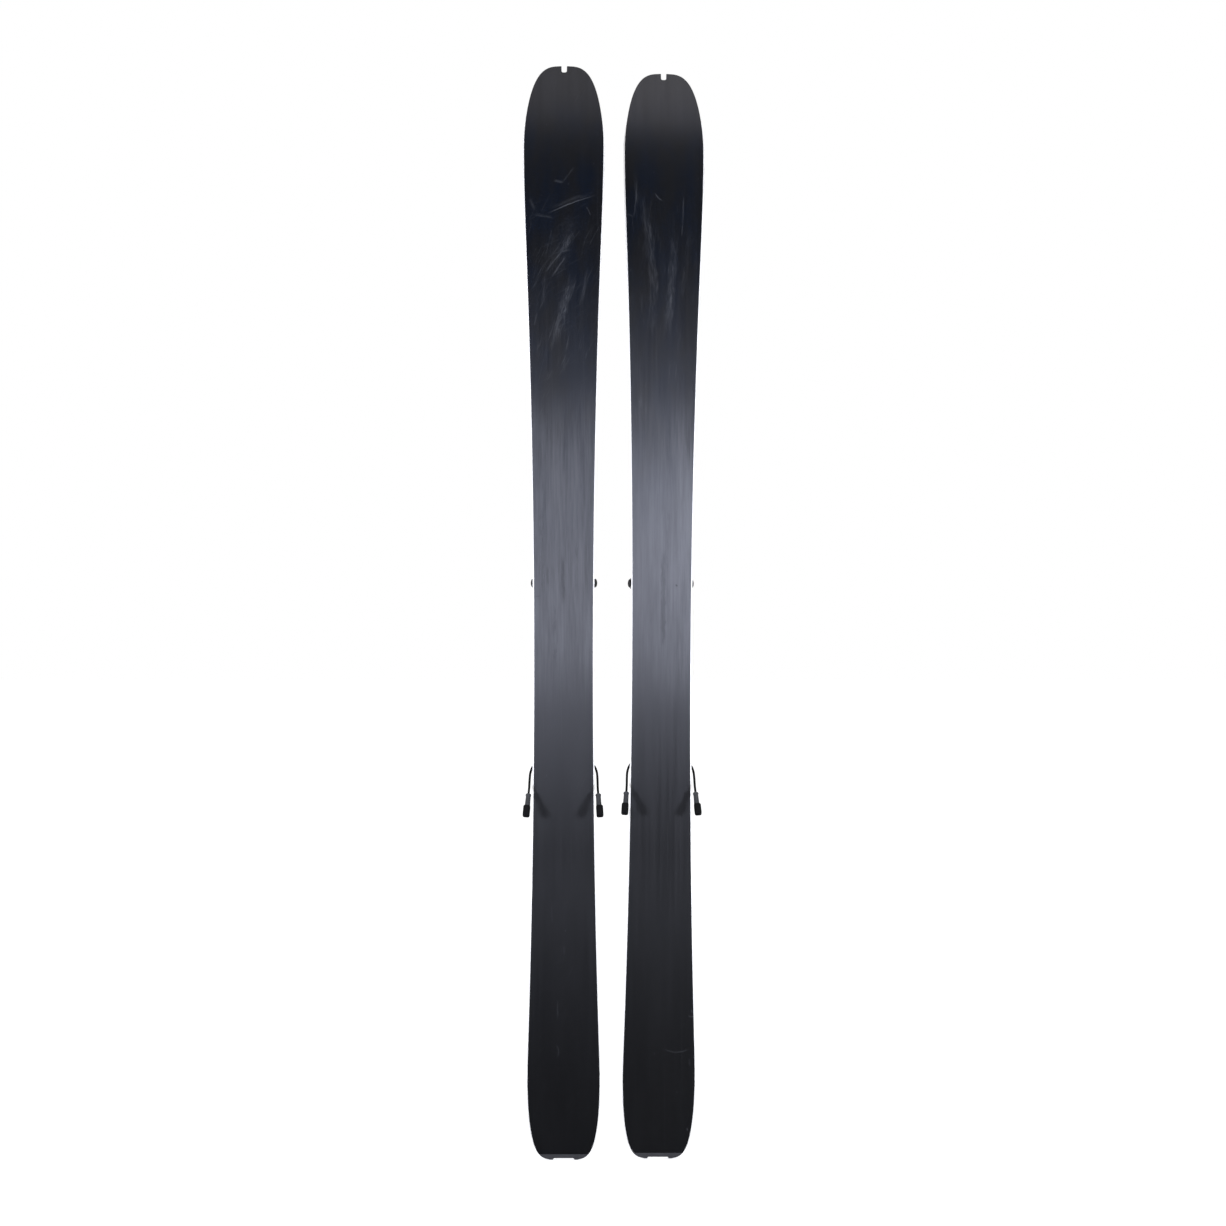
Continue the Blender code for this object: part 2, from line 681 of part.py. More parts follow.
    brake = frame(n + "brake_axis", ski, axle)
    half_route = [
        (0.0, 0.0, 0.0),
        (0.0140, 0.0, 0.0),
        (0.0275, 0.0, 0.0),
        (0.0345, -0.0006, -0.0065),
        (0.0402, -0.0022, -0.0190),
        (0.0456, -0.0045, -0.0290),
        (0.0503, -0.0082, -0.0368),
        (0.0530, -0.0135, -0.0436),
        (0.0543, -0.0205, -0.0524),
        (0.0552, -0.0290, -0.0633),
        (0.0562, -0.0390, -0.0760),
        (0.0571, -0.0482, -0.0878),
        (0.0577, -0.0547, -0.0962),
    ]
    right = smooth_line(half_route[1:], 1)
    route = [Vector((-p.x, p.y, p.z)) for p in reversed(right)] + right
    wire(n + "brake_wire", brake, WIRE_BLACK, route, WIRE_R)

    pedal_axis = frame(n + "pedal_axis", brake, (0, 0, 0), (-PEDAL_RAISE, 0, 0))
    pedal = block(
        n + "brake_pedal", pedal_axis, PLASTIC_BLACK, (-0.0240, -0.0020, 0.0135), (0.0240, 0.0042, 0.0560), 0.0015
    )
    neck = block(n + "pedal_neck", pedal_axis, None, (-0.0190, -0.0020, 0.0010), (0.0190, 0.0042, 0.0180))
    sleeve = rod(n + "pedal_sleeve", pedal_axis, None, (-0.0193, 0, 0), (0.0193, 0, 0), 0.0054)
    bore = rod(n + "pedal_bore", pedal_axis, None, (-0.0300, 0, 0), (0.0300, 0, 0), 0.0024, sides=12)
    cut(join(pedal, neck, sleeve), bore)

    for s, hand in ((-1, "left"), (1, "right")):
        a = Vector((s * 0.0562, -0.0390, -0.0760))
        b = Vector((s * 0.0577, -0.0547, -0.0962))
        along = (b - a).normalized()
        foot_frame = frame(n + "foot_frame_" + hand, brake, a)
        foot_frame.rotation_euler = Vector((0, 0, -1)).rotation_difference(along).to_euler()
        # along the arm, -Z runs towards its end
        foot = rod(
            n + "brake_foot_" + hand, foot_frame, PLASTIC_BLACK, (0, 0, 0.0015), (0, 0, -0.0230), 0.0045, sides=12
        )
        xs = sorted((s * -0.0050, s * 0.0064))
        toe_end = block(
            n + "foot_end_" + hand, foot_frame, None,
            (xs[0], -0.0050, -0.0408), (xs[1], 0.0050, -0.0198), 0.0024,
        )
        channel = rod(
            n + "foot_bore_" + hand, foot_frame, None, (0, 0, 0.0100), (0, 0, -0.0290), 0.0026, sides=12
        )
        cut(join(foot, toe_end), channel)


build_ski("left", (ORIGIN_X - SPACING / 2, BASE_PLANE_Y, 0))
build_ski(
    "right",
    (ORIGIN_X + SPACING / 2 - RIGHT_LEAN * LENGTH / 2, BASE_PLANE_Y + RIGHT_BACK, RIGHT_LIFT),
    RIGHT_PITCH,
    RIGHT_LEAN,
    RIGHT_TURN,
)
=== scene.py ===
"""The finished look of a pair of touring skis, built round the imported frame."""
import json
import math

import bmesh
import bpy
from mathutils import Matrix, Vector

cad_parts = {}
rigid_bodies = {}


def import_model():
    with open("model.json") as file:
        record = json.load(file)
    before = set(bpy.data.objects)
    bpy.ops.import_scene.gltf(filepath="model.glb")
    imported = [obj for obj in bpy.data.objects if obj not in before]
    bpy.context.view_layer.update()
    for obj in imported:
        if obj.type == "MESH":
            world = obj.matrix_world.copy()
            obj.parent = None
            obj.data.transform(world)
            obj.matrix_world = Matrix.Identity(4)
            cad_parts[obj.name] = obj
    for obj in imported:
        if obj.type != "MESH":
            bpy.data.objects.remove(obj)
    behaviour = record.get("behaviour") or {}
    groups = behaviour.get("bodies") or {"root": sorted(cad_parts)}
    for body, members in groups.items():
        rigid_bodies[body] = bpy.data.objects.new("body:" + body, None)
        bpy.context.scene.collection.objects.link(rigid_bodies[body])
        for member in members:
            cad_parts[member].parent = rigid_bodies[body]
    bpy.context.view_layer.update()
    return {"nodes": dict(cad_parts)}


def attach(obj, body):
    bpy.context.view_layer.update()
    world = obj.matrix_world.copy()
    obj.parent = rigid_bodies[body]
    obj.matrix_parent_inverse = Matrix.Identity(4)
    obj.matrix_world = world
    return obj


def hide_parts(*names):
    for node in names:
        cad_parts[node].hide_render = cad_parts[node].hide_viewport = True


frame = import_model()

# ---------------------------------------------------------------- sizes, as the frame has them
LENGTH = 1.780
TIP_WIDTH, WAIST_WIDTH, TAIL_WIDTH = 0.1292, 0.0946, 0.1168
Z_TIP_WIDE, Z_WAIST, Z_TAIL_WIDE = 1.648, 0.806, 0.1220
CAMBER, TIP_RISE, TAIL_RISE = 0.0035, 0.0600, 0.0150
Z_TIP_CONTACT, Z_TAIL_CONTACT = 1.380, 0.230
FLAT_LOW, FLAT_HIGH = 0.500, 1.050
THICK_TIP, THICK_BOOT, THICK_TAIL = 0.0056, 0.0115, 0.0060
BASE_THICK, EDGE_WIDTH, SIDEWALL_WIDTH, TOP_THICK = 0.0019, 0.0020, 0.0030, 0.0009
SEAM = 0.00005
Z_EDGE_END, Z_SPACER = 1.700, 1.660
NOTCH_WIDTH, NOTCH_DEPTH = 0.0086, 0.0110
PROTECTOR_HEIGHT, TAIL_NOTCH_HALF, TAIL_NOTCH_DEPTH = 0.0090, 0.0150, 0.0026
TOP = CAMBER + THICK_BOOT
PLATE_TOP = TOP + 0.0053
Z_PINS = 0.934
JAW_X, JAW_Y, JAW_OPEN = 0.024, TOP + 0.0115, math.radians(18)
Z_LEVER, LEVER_Y, LEVER_REST = Z_PINS + 0.035, TOP + 0.0125, math.radians(6)
Z_TURRET = 0.612
HEEL_PIN_X, HEEL_PIN_Y = 0.0135, 0.033
RISER_Y, RISER_Z = 0.0465, 0.001
Z_BRAKE, BRAKE_Y, PEDAL_RAISE = 0.668, TOP + 0.0100, math.radians(36)
PITCH, LEAN, TURN = math.radians(1.5), math.radians(0.43), math.radians(1.4)
ORIGIN_X, BASE_PLANE_Y, SPACING = -0.0020, -0.03955, 0.1597
GAP = 0.0003
PLACES = {
    "left": Matrix.Translation((ORIGIN_X - SPACING / 2, BASE_PLANE_Y, 0.0)),
    "right": Matrix.Translation((ORIGIN_X + SPACING / 2 - LEAN * LENGTH / 2, BASE_PLANE_Y + 0.008, 0.0009))
    @ Matrix.Rotation(TURN, 4, "Z")
    @ Matrix.Rotation(LEAN, 4, "Y")
    @ Matrix.Rotation(-PITCH, 4, "X"),
}


def smooth(t):
    t = min(1.0, max(0.0, t))
    return t * t * (3 - 2 * t)


def sidecut(t, gain, ease):
    if t < ease:
        return gain * t * t
    f0, m0 = gain * ease * ease, 2 * gain * ease * (1 - ease)
    u = (t - ease) / (1 - ease)
    return (
        f0 * (2 * u**3 - 3 * u**2 + 1) + m0 * (u**3 - 2 * u**2 + u) + (3 * u**2 - 2 * u**3)
    )


def sheet_half(z):
    if z > Z_TIP_WIDE:
        s = min(1.0, (z - Z_TIP_WIDE) / (LENGTH - Z_TIP_WIDE))
        return max(0.0065, TIP_WIDTH / 2 * max(0.0, 1 - s**1.7) ** (1 / 3.46))
    if z > Z_WAIST:
        t = (z - Z_WAIST) / (Z_TIP_WIDE - Z_WAIST)
        return (WAIST_WIDTH + (TIP_WIDTH - WAIST_WIDTH) * sidecut(t, 1.165, 0.783)) / 2
    if z > Z_TAIL_WIDE:
        t = (Z_WAIST - z) / (Z_WAIST - Z_TAIL_WIDE)
        return (WAIST_WIDTH + (TAIL_WIDTH - WAIST_WIDTH) * sidecut(t, 1.08, 0.878)) / 2
    s = min(1.0, (Z_TAIL_WIDE - z) / Z_TAIL_WIDE)
    return max(0.0230, TAIL_WIDTH / 2 * max(0.0, 1 - s**1.8) ** (1 / 5.42))


def base_y(z):
    if z > Z_TIP_CONTACT:
        return TIP_RISE * ((z - Z_TIP_CONTACT) / (LENGTH - Z_TIP_CONTACT)) ** 2.4
    if z < Z_TAIL_CONTACT:
        return TAIL_RISE * ((Z_TAIL_CONTACT - z) / Z_TAIL_CONTACT) ** 2.2
    if z > FLAT_HIGH:
        return CAMBER * smooth((Z_TIP_CONTACT - z) / (Z_TIP_CONTACT - FLAT_HIGH))
    if z < FLAT_LOW:
        return CAMBER * smooth((z - Z_TAIL_CONTACT) / (FLAT_LOW - Z_TAIL_CONTACT))
    return CAMBER


def thickness(z):
    if z > FLAT_HIGH:
        return THICK_TIP + (THICK_BOOT - THICK_TIP) * smooth((1.62 - z) / (1.62 - FLAT_HIGH))
    if z < FLAT_LOW:
        return THICK_TAIL + (THICK_BOOT - THICK_TAIL) * smooth((z - 0.06) / (FLAT_LOW - 0.06))
    return THICK_BOOT


def top_y(z):
    return base_y(z) + thickness(z)


def edge_width(z):
    """The steel edges lie outside the base sheet and thin out towards both ends."""
    fade = smooth((z - PROTECTOR_HEIGHT) / 0.022) * (1 - smooth((z - Z_SPACER + 0.005) / (Z_EDGE_END - Z_SPACER)))
    return 0.0003 + (EDGE_WIDTH - 0.0003) * fade


def half_width(z):
    """Sidewalls and top sheet, a little narrower than the steel edges."""
    return sheet_half(z) + 0.6 * (edge_width(z) - 0.0003)


def stations(z0, z1):
    """Fine cross sections: even along the body, and even in width round the tip and tail."""
    n = 34
    zs = [Z_TAIL_WIDE + (Z_TIP_WIDE - Z_TAIL_WIDE) * i / 110 for i in range(111)]
    for i in range(1, n):
        w = 1 - (1 - 0.100) * i / n
        zs.append(Z_TIP_WIDE + (LENGTH - Z_TIP_WIDE) * (1 - w**3.46) ** (1 / 1.7))
    for i in range(1, n):
        w = 1 - (1 - 0.400) * i / n
        zs.append(Z_TAIL_WIDE * (1 - (1 - w**5.42) ** (1 / 1.8)))
    zs += [Z_SPACER - 0.005 + 0.040 * i / 10 for i in range(11)]
    zs = sorted(z for z in zs if z0 + 0.00025 < z < z1 - 0.00025)
    kept = [z0]
    for z in zs:
        if z - kept[-1] > 0.00022:
            kept.append(z)
    return [*kept, z1]


# ---------------------------------------------------------------- materials
class Mat:
    """A node material, written as a short list of nodes."""

    def __init__(self, name, colour, roughness, metallic=0.0, **more):
        self.m = bpy.data.materials.new(name)
        self.m.use_nodes = True
        self.t = self.m.node_tree
        self.b = self.t.nodes["Principled BSDF"]
        self.set("Base Color", (*colour, 1.0))
        self.set("Roughness", roughness)
        self.set("Metallic", metallic)
        for k, v in more.items():
            self.set(k.replace("_", " "), v)
        self.co = self.t.nodes.new("ShaderNodeTexCoord").outputs["Object"]
        self.height = None

    def set(self, socket, value):
        self.b.inputs[socket].default_value = value

    def node(self, kind, links=(), **props):
        n = self.t.nodes.new(kind)
        for k, v in props.items():
            setattr(n, k, v)
        for where, what in dict(links).items():
            sock = n.inputs[where]
            if isinstance(what, bpy.types.NodeSocket):
                self.t.links.new(what, sock)
            else:
                sock.default_value = what
        return n

    def place(self, scale, turn=(0.0, 0.0, 0.0), shift=(0.0, 0.0, 0.0), source=None):
        """Object coordinates, shifted and turned, then stretched."""
        a = self.node("ShaderNodeMapping", {"Vector": source or self.co, "Location": shift, "Rotation": turn})
        return self.node("ShaderNodeMapping", {"Vector": a.outputs[0], "Scale": scale}).outputs[0]

    def noise(self, scale, detail=3.0, rough=0.5, at=None, distort=0.0):
        return self.node(
            "ShaderNodeTexNoise",
            {"Vector": at or self.co, "Scale": scale, "Detail": detail, "Roughness": rough, "Distortion": distort},
        ).outputs["Fac"]

    def ramp(self, value, *stops):
        """Stops are (position, level or colour)."""
        n = self.node("ShaderNodeValToRGB", {"Fac": value})
        els = n.color_ramp.elements
        while len(els) > len(stops):
            els.remove(els[-1])
        while len(els) < len(stops):
            els.new(0.5)
        for e, (p, c) in zip(els, stops, strict=True):
            e.position = p
            e.color = (c, c, c, 1) if isinstance(c, float | int) else (*c, 1)
        return n.outputs["Color"]

    def math(self, op, a, b=0.0, c=0.0, clamp=False):
        n = self.node("ShaderNodeMath", operation=op, use_clamp=clamp)
        for i, v in enumerate((a, b, c)):
            if isinstance(v, bpy.types.NodeSocket):
                self.t.links.new(v, n.inputs[i])
            else:
                n.inputs[i].default_value = v
        return n.outputs[0]

    def mix(self, fac, a, b):
        n = self.node("ShaderNodeMix", data_type="RGBA")
        for i, v in ((0, fac), (6, a), (7, b)):
            if isinstance(v, bpy.types.NodeSocket):
                self.t.links.new(v, n.inputs[i])
            elif i:
                n.inputs[i].default_value = (*v, 1)
            else:
                n.inputs[i].default_value = v
        return n.outputs[2]

    def axis(self, which):
        if not hasattr(self, "split"):
            self.split = self.node("ShaderNodeSeparateXYZ", {0: self.co})
        return self.split.outputs["XYZ".index(which)]

    def window(self, value, low, high, soft):
        """1 between low and high, easing to 0 over soft outside."""
        up = self.node("ShaderNodeMapRange", {0: value, 1: low - soft, 2: low}, interpolation_type="SMOOTHSTEP")
        dn = self.node("ShaderNodeMapRange", {0: value, 1: high, 2: high + soft}, interpolation_type="SMOOTHSTEP")
        dn.inputs[3].default_value, dn.inputs[4].default_value = 1.0, 0.0
        return self.math("MULTIPLY", up.outputs[0], dn.outputs[0])

    def stroke(self, a, b, half, ragged=0.5, bend=0.0, after=None):
        """A scratch or smear from a to b, (x, z) along the ski: 1 on it, fading to 0 at half its width.

        It waits for `after`, so a long row of strokes is worked out one by one and stays within the shader's memory.
        """
        length = math.hypot(b[0] - a[0], b[1] - a[1])
        dx, dz = (b[0] - a[0]) / length, (b[1] - a[1]) / length
        px, pz = self.axis("X"), self.axis("Z")
        if after is not None:
            px, pz = self.math("MULTIPLY_ADD", after, 1e-7, px), self.math("MULTIPLY_ADD", after, 1e-7, pz)
        px, pz = self.math("SUBTRACT", px, a[0]), self.math("SUBTRACT", pz, a[1])
        u = self.math("MULTIPLY_ADD", px, dx, self.math("MULTIPLY", pz, dz))
        v = self.math("MULTIPLY_ADD", px, dz, self.math("MULTIPLY", pz, -dx))
        t = self.math("DIVIDE", u, length)
        if bend:
            v = self.math("MULTIPLY_ADD", self.math("MULTIPLY", t, self.math("SUBTRACT", 1.0, t)), 4 * bend, v)
        # its sides waver, and it breaks up into fine lines that run its way
        waver = self.noise(1.0, 3.0, 0.6, self.node("ShaderNodeCombineXYZ", {0: self.math("MULTIPLY", u, 70.0), 1: half * 900, 2: self.math("MULTIPLY", v, 110.0)}).outputs[0])
        v = self.math("MULTIPLY_ADD", self.math("SUBTRACT", waver, 0.5), 1.3 * half, v)
        lines = self.noise(1.0, 4.0, 0.62, self.node("ShaderNodeCombineXYZ", {0: self.math("MULTIPLY", u, 42.0), 1: a[1] * 50, 2: self.math("MULTIPLY", v, 620.0)}).outputs[0])
        lines = self.ramp(lines, (0.45, 1.0 - ragged), (0.66, 1.0))
        side = self.node("ShaderNodeMapRange", {0: self.math("ABSOLUTE", v), 1: half * 0.15, 2: half, 3: 1.0, 4: 0.0}, interpolation_type="SMOOTHSTEP")
        return self.math("MULTIPLY", self.math("MULTIPLY", lines, side.outputs[0]), self.window(t, 0.22, 0.70, 0.30))

    def link(self, what, socket):
        self.t.links.new(what, self.b.inputs[socket])

    def bump(self, height, strength, distance):
        n = self.node("ShaderNodeBump", {"Height": height, "Strength": strength, "Distance": distance})
        if self.height is not None:
            self.t.links.new(self.height, n.inputs["Normal"])
        self.height = n.outputs[0]
        self.link(self.height, "Normal")


CAMBER_TILT = {"left": (-0.0155, 0.0155, 1.14, 0.14), "right": (0.0142, 0.0270, 1.12, 0.12)}

# the larger scratches on each base: from, to (x, z in metres), half width, strength, raggedness, bend
SCRATCHES = {
    "left": (
        ((-0.023, 1.532), (0.056, 1.562), 0.0015, 0.90, 0.6, 0.0020), ((-0.020, 1.541), (0.052, 1.567), 0.0050, 0.34, 0.9, 0.0),
        ((-0.016, 1.585), (0.001, 1.582), 0.0030, 0.40, 0.6, 0.0), ((-0.002, 1.582), (0.018, 1.609), 0.0015, 0.36, 0.5, 0.0),
        ((-0.055, 1.556), (-0.046, 1.535), 0.0040, 0.28, 0.7, 0.0), ((-0.047, 1.529), (-0.015, 1.523), 0.0040, 0.30, 0.8, 0.001),
        ((0.036, 1.542), (0.044, 1.526), 0.0014, 0.40, 0.4, 0.001), ((-0.008, 1.456), (0.016, 1.503), 0.0080, 0.74, 0.95, 0.0),
        ((-0.026, 1.462), (0.014, 1.474), 0.0050, 0.50, 0.9, 0.0), ((-0.029, 1.436), (-0.001, 1.470), 0.0022, 0.66, 0.7, 0.001),
        ((-0.018, 1.430), (0.006, 1.464), 0.0022, 0.60, 0.7, 0.0), ((-0.033, 1.477), (0.000, 1.492), 0.0030, 0.30, 0.8, 0.0),
        ((-0.013, 1.322), (0.016, 1.432), 0.0095, 0.55, 0.92, 0.002), ((-0.022, 1.310), (0.003, 1.385), 0.0050, 0.40, 0.9, 0.0),
        ((0.040, 1.440), (0.026, 1.380), 0.0050, 0.36, 0.9, 0.0), ((-0.043, 1.370), (-0.047, 1.348), 0.0016, 0.50, 0.6, 0.0),
        ((-0.029, 1.432), (-0.036, 1.375), 0.0050, 0.22, 0.9, 0.0),
        ((-0.022, 1.430), (0.018, 1.535), 0.0240, 0.17, 0.9, 0.0),
        ((-0.0095, 0.262), (-0.0090, 0.226), 0.0014, 0.38, 0.8, 0.0), ((-0.0115, 0.188), (-0.0105, 0.166), 0.0013, 0.34, 0.6, 0.003),
        ((-0.0190, 0.418), (-0.0185, 0.380), 0.0016, 0.22, 0.8, 0.0), ((0.0005, 0.348), (0.0010, 0.332), 0.0012, 0.26, 0.6, 0.0),
    ),
    "right": (
        ((-0.0445, 1.592), (-0.0505, 1.526), 0.0016, 0.55, 0.6, 0.001), ((-0.048, 1.610), (-0.042, 1.545), 0.0050, 0.22, 0.9, 0.0),
        ((-0.028, 1.545), (-0.013, 1.385), 0.0085, 0.52, 0.9, 0.0), ((-0.036, 1.575), (-0.027, 1.440), 0.0060, 0.30, 0.95, 0.0),
        ((0.018, 1.500), (0.006, 1.330), 0.0085, 0.52, 0.9, 0.0), ((0.032, 1.566), (0.030, 1.515), 0.0014, 0.46, 0.6, 0.0),
        ((0.030, 1.520), (0.029, 1.500), 0.0014, 0.40, 0.4, 0.0), ((0.042, 1.510), (0.028, 1.390), 0.0080, 0.20, 0.95, 0.0),
        ((-0.0145, 1.572), (-0.0015, 1.559), 0.0012, 0.70, 0.3, -0.002), ((-0.060, 1.537), (-0.050, 1.532), 0.0013, 0.45, 0.5, 0.0),
        ((-0.020, 1.470), (-0.018, 1.330), 0.0080, 0.26, 0.9, 0.0),
        ((0.0080, 0.1790), (0.0500, 0.1800), 0.0012, 0.60, 0.7, -0.0060), ((0.0470, 0.2330), (0.0560, 0.2310), 0.0011, 0.75, 0.3, -0.0010),
        ((0.0515, 0.2420), (0.0545, 0.2370), 0.0011, 0.90, 0.2, 0.0), ((0.0490, 0.1640), (0.0500, 0.1500), 0.0012, 0.30, 0.5, 0.0),
        ((0.0465, 0.0500), (0.0480, 0.0455), 0.0012, 0.80, 0.2, 0.0), ((-0.0080, 0.1730), (-0.0070, 0.1690), 0.0011, 0.34, 0.3, 0.0),
    ),
}
# and the short strokes that make the left one's streaks feathery, side by side along each streak
for i in range(9):
    t, across, turn = i / 8, ((i * 37) % 11 - 5) * 0.0015, math.radians(57 + (i * 53) % 19 - 9)
    x, z = -0.021 + 0.036 * t + 0.8 * across, 1.448 + 0.052 * t - 0.6 * across
    dx, dz = 0.011 * math.cos(turn), 0.011 * math.sin(turn)
    SCRATCHES["left"] += (((x - dx, z - dz), (x + dx, z + dz), 0.0013, 0.34 + 0.05 * (i % 4), 0.6, 0.0),)
for i in range(5):
    t, across = i / 4, ((i * 29) % 7 - 3) * 0.0022
    x, z = -0.012 + 0.024 * t + across, 1.345 + 0.060 * t
    SCRATCHES["left"] += (((x - 0.0050, z - 0.017), (x + 0.0060, z + 0.017), 0.0014, 0.40 + 0.06 * (i % 3), 0.7, 0.0),)

# gaps in the painted highlight of the middle, where the base stays dark; there it is also a little glossier
PAINTED_GLARE_GAPS = {
    "left": (
        ((-0.0265, 0.960), (-0.0255, 0.925), 0.0030, 0.8, 0.7, 0.0), ((-0.001, 0.975), (0.000, 0.895), 0.0040, 1.0, 0.7, 0.0),
        ((-0.015, 0.900), (-0.013, 0.780), 0.0060, 0.5, 0.9, 0.0), ((-0.045, 0.912), (-0.036, 0.9128), 0.0010, 1.0, 0.3, 0.0),
        ((-0.036, 1.060), (-0.033, 0.880), 0.0060, 0.5, 0.9, 0.0), ((0.022, 1.020), (0.020, 0.900), 0.0040, 0.4, 0.9, 0.0),
    ),
    "right": (
        ((0.002, 0.985), (0.003, 0.815), 0.0055, 1.0, 0.7, 0.0), ((0.0225, 0.9310), (0.0255, 0.9280), 0.0019, 1.6, 0.2, 0.0),
        ((0.010, 1.060), (0.008, 0.930), 0.0040, 0.6, 0.9, 0.0), ((-0.020, 0.960), (-0.018, 0.820), 0.0050, 0.4, 0.9, 0.0),
        ((0.012, 0.930), (0.010, 0.860), 0.0040, 0.5, 0.9, 0.0),
    ),
}


def running_base(side):
    """Black structured base: vertical structure, wax haze, feathery scratches, nicks, and a painted highlight of pale
    streaks where the glare falls in the middle.
    """
    k = 0.0 if side == "left" else 3.7
    m = Mat("base_" + side, (0.006, 0.0063, 0.0072), 0.4, IOR=1.475 if side == "left" else 1.59, Anisotropic=0.9)
    # the stone-ground structure runs along the ski, so gloss spreads across it
    across = m.node("ShaderNodeVectorTransform", {0: (1.0, 0.0, 0.0)}, vector_type="VECTOR", convert_from="OBJECT", convert_to="WORLD")
    m.link(across.outputs[0], "Tangent")
    x, z = m.axis("X"), m.axis("Z")
    fine = m.noise(1.0, 4.0, 0.6, m.place((1500, 1, 9), shift=(k, 0, k)))
    line = m.noise(1.0, 4.0, 0.68, m.place((430, 1, 4.5), shift=(k, 0, 2.1 + k)))
    streak = m.noise(1.0, 3.0, 0.55, m.place((150, 1, 3.2), shift=(k, 0, k)), 0.3)
    wide = m.noise(1.0, 2.0, 0.5, m.place((38, 1, 2.2), shift=(k, 0, 2 * k)))
    haze = m.noise(1.0, 3.0, 0.5, m.place((16, 1, 7), shift=(k, 0, 5 + k)))
    # feathery scratches, in clusters that lean one way
    if side == "left":
        leans, low, high = (-26, -62, -12), 1.25, 1.49
    else:
        leans, low, high = (4, -5, 38), 1.06, 1.50
    scratches = None
    for i, lean in enumerate(leans):
        turn = (0, math.radians(lean), 0)
        lines = m.noise(1.0, 5.0, 0.62, m.place((520, 1, 17), turn, (k + i, 0, i * 0.7)), 0.25)
        lines = m.ramp(lines, (0.56, 0.0), (0.72, 1.0))
        blots = m.noise(1.0, 2.0, 0.5, m.place((34, 1, 15), turn, (2 * i + k, 0, 1.3 * i + k)))
        blots = m.ramp(blots, (0.50, 0.0), (0.68, 1.0))
        one = m.math("MULTIPLY", lines, blots)
        one = m.math("MULTIPLY", one, (1.0, 0.55, 0.8)[i] if side == "left" else (0.75, 0.75, 0.12)[i])
        scratches = one if scratches is None else m.math("MAXIMUM", scratches, one)
    region = m.window(z, low, high, 0.10)
    scratches = m.math("MULTIPLY", scratches, m.math("MULTIPLY_ADD", region, 0.86, 0.14))
    # long single lines where snow grains dragged, all along the base
    hair = m.noise(1.0, 2.0, 0.4, m.place((900, 1, 2.6), (0, math.radians(0.7), 0), (k, 0, 9 + k)))
    hair = m.ramp(hair, (0.69, 0.0), (0.76, 1.0))
    # nicks: small specks, lighter or darker
    cells = m.node("ShaderNodeTexVoronoi", {"Vector": m.place((95, 95, 38), shift=(k, 0, k)), "Scale": 1.0})
    speck = m.ramp(cells.outputs["Distance"], (0.045, 1.0), (0.085, 0.0))
    pick = m.ramp(m.noise(23.0, 1.0), (0.58, 0.0), (0.66, 1.0))
    speck = m.math("MULTIPLY", speck, pick)
    light = m.math("MAXIMUM", m.math("MULTIPLY", scratches, 0.72 if side == "left" else 0.55), m.math("MULTIPLY", hair, 0.22))
    light = m.math("MAXIMUM", light, m.math("MULTIPLY", speck, 0.30))
    for a, b, half, strength, ragged, bend in SCRATCHES[side]:
        light = m.math("MAXIMUM", light, m.math("MULTIPLY", m.stroke(a, b, half, ragged, bend, light), strength))
    # painted highlight in the middle: long pale streaks of several widths that stand in for the side lamps' glare on
    # the base
    broad = m.ramp(m.noise(1.0, 4.0, 0.62, m.place((36, 1, 4.5), shift=(k, 0, 7 + k))), (0.38, 0.0), (0.62, 1.0))
    band = m.ramp(m.noise(1.0, 5.0, 0.66, m.place((125, 1, 7.5), (0, math.radians(0.5), 0), (k, 0, 4 + k))), (0.40, 0.0), (0.60, 1.0))
    thin = m.ramp(m.noise(1.0, 4.0, 0.70, m.place((340, 1, 12), shift=(k, 0, 1 + k))), (0.40, 0.0), (0.60, 1.0))
    painted_glare_streaks = m.math("MULTIPLY_ADD", band, 0.36, m.math("MULTIPLY", broad, 0.36))
    painted_glare_streaks = m.math("MULTIPLY_ADD", thin, 0.28, painted_glare_streaks)
    # painted highlight: kept to the band where the side lamps' glare falls
    painted_glare_streaks = m.math("MULTIPLY", painted_glare_streaks, m.math("MULTIPLY_ADD", m.window(z, 0.84, 1.14, 0.13), 0.97, 0.03))
    # mask of the gaps in the painted highlight, also used to lower the roughness
    painted_glare_gap = m.math("MULTIPLY", light, 0.0001)
    for a, b, half, strength, ragged, bend in PAINTED_GLARE_GAPS[side]:
        painted_glare_gap = m.math("MAXIMUM", painted_glare_gap, m.math("MULTIPLY", m.stroke(a, b, half, ragged, bend, painted_glare_gap), strength))
    colour = m.mix(haze, (0.0018, 0.0019, 0.0026), (0.0036, 0.0037, 0.0045))
    blue = m.ramp(m.noise(1.0, 3.0, 0.6, m.place((22, 1, 9), shift=(2 + k, 0, 3 * k))), (0.40, 0.15), (0.60, 1.0))
    blue = m.math("MULTIPLY", blue, m.window(z, 1.10, 1.62, 0.16))
    colour = m.mix(blue, colour, (0.0006, 0.0022, 0.0062))
    painted_glare_streaks = m.math("MULTIPLY", painted_glare_streaks, m.math("SUBTRACT", 1.0, m.math("MULTIPLY", painted_glare_gap, 2.2), clamp=True))
    if side == "right":
        # the painted highlight on this ski grows brighter towards the side away from the other one
        painted_glare_streaks = m.math("MULTIPLY", painted_glare_streaks, m.math("MULTIPLY_ADD", x, 9.0, 0.92))
    # painted highlight: the streaks lift the base colour to a pale grey
    colour = m.mix(painted_glare_streaks, colour, (0.040, 0.041, 0.0445))
    colour = m.mix(light, colour, (0.052, 0.055, 0.060))
    m.link(colour, "Base Color")
    # satin: rougher in the streaks, glossier in the waxed middle
    r = m.math("MULTIPLY_ADD", streak, 0.10, 0.194 if side == "left" else 0.175)
    r = m.math("MULTIPLY_ADD", wide, 0.085, r)
    r = m.math("MULTIPLY_ADD", fine, 0.05, r)
    r = m.math("MULTIPLY_ADD", line, 0.11, r)
    r = m.math("MULTIPLY_ADD", light, 0.24, r)
    r = m.math("MULTIPLY_ADD", painted_glare_gap, -0.058, r, clamp=True)
    m.link(r, "Roughness")
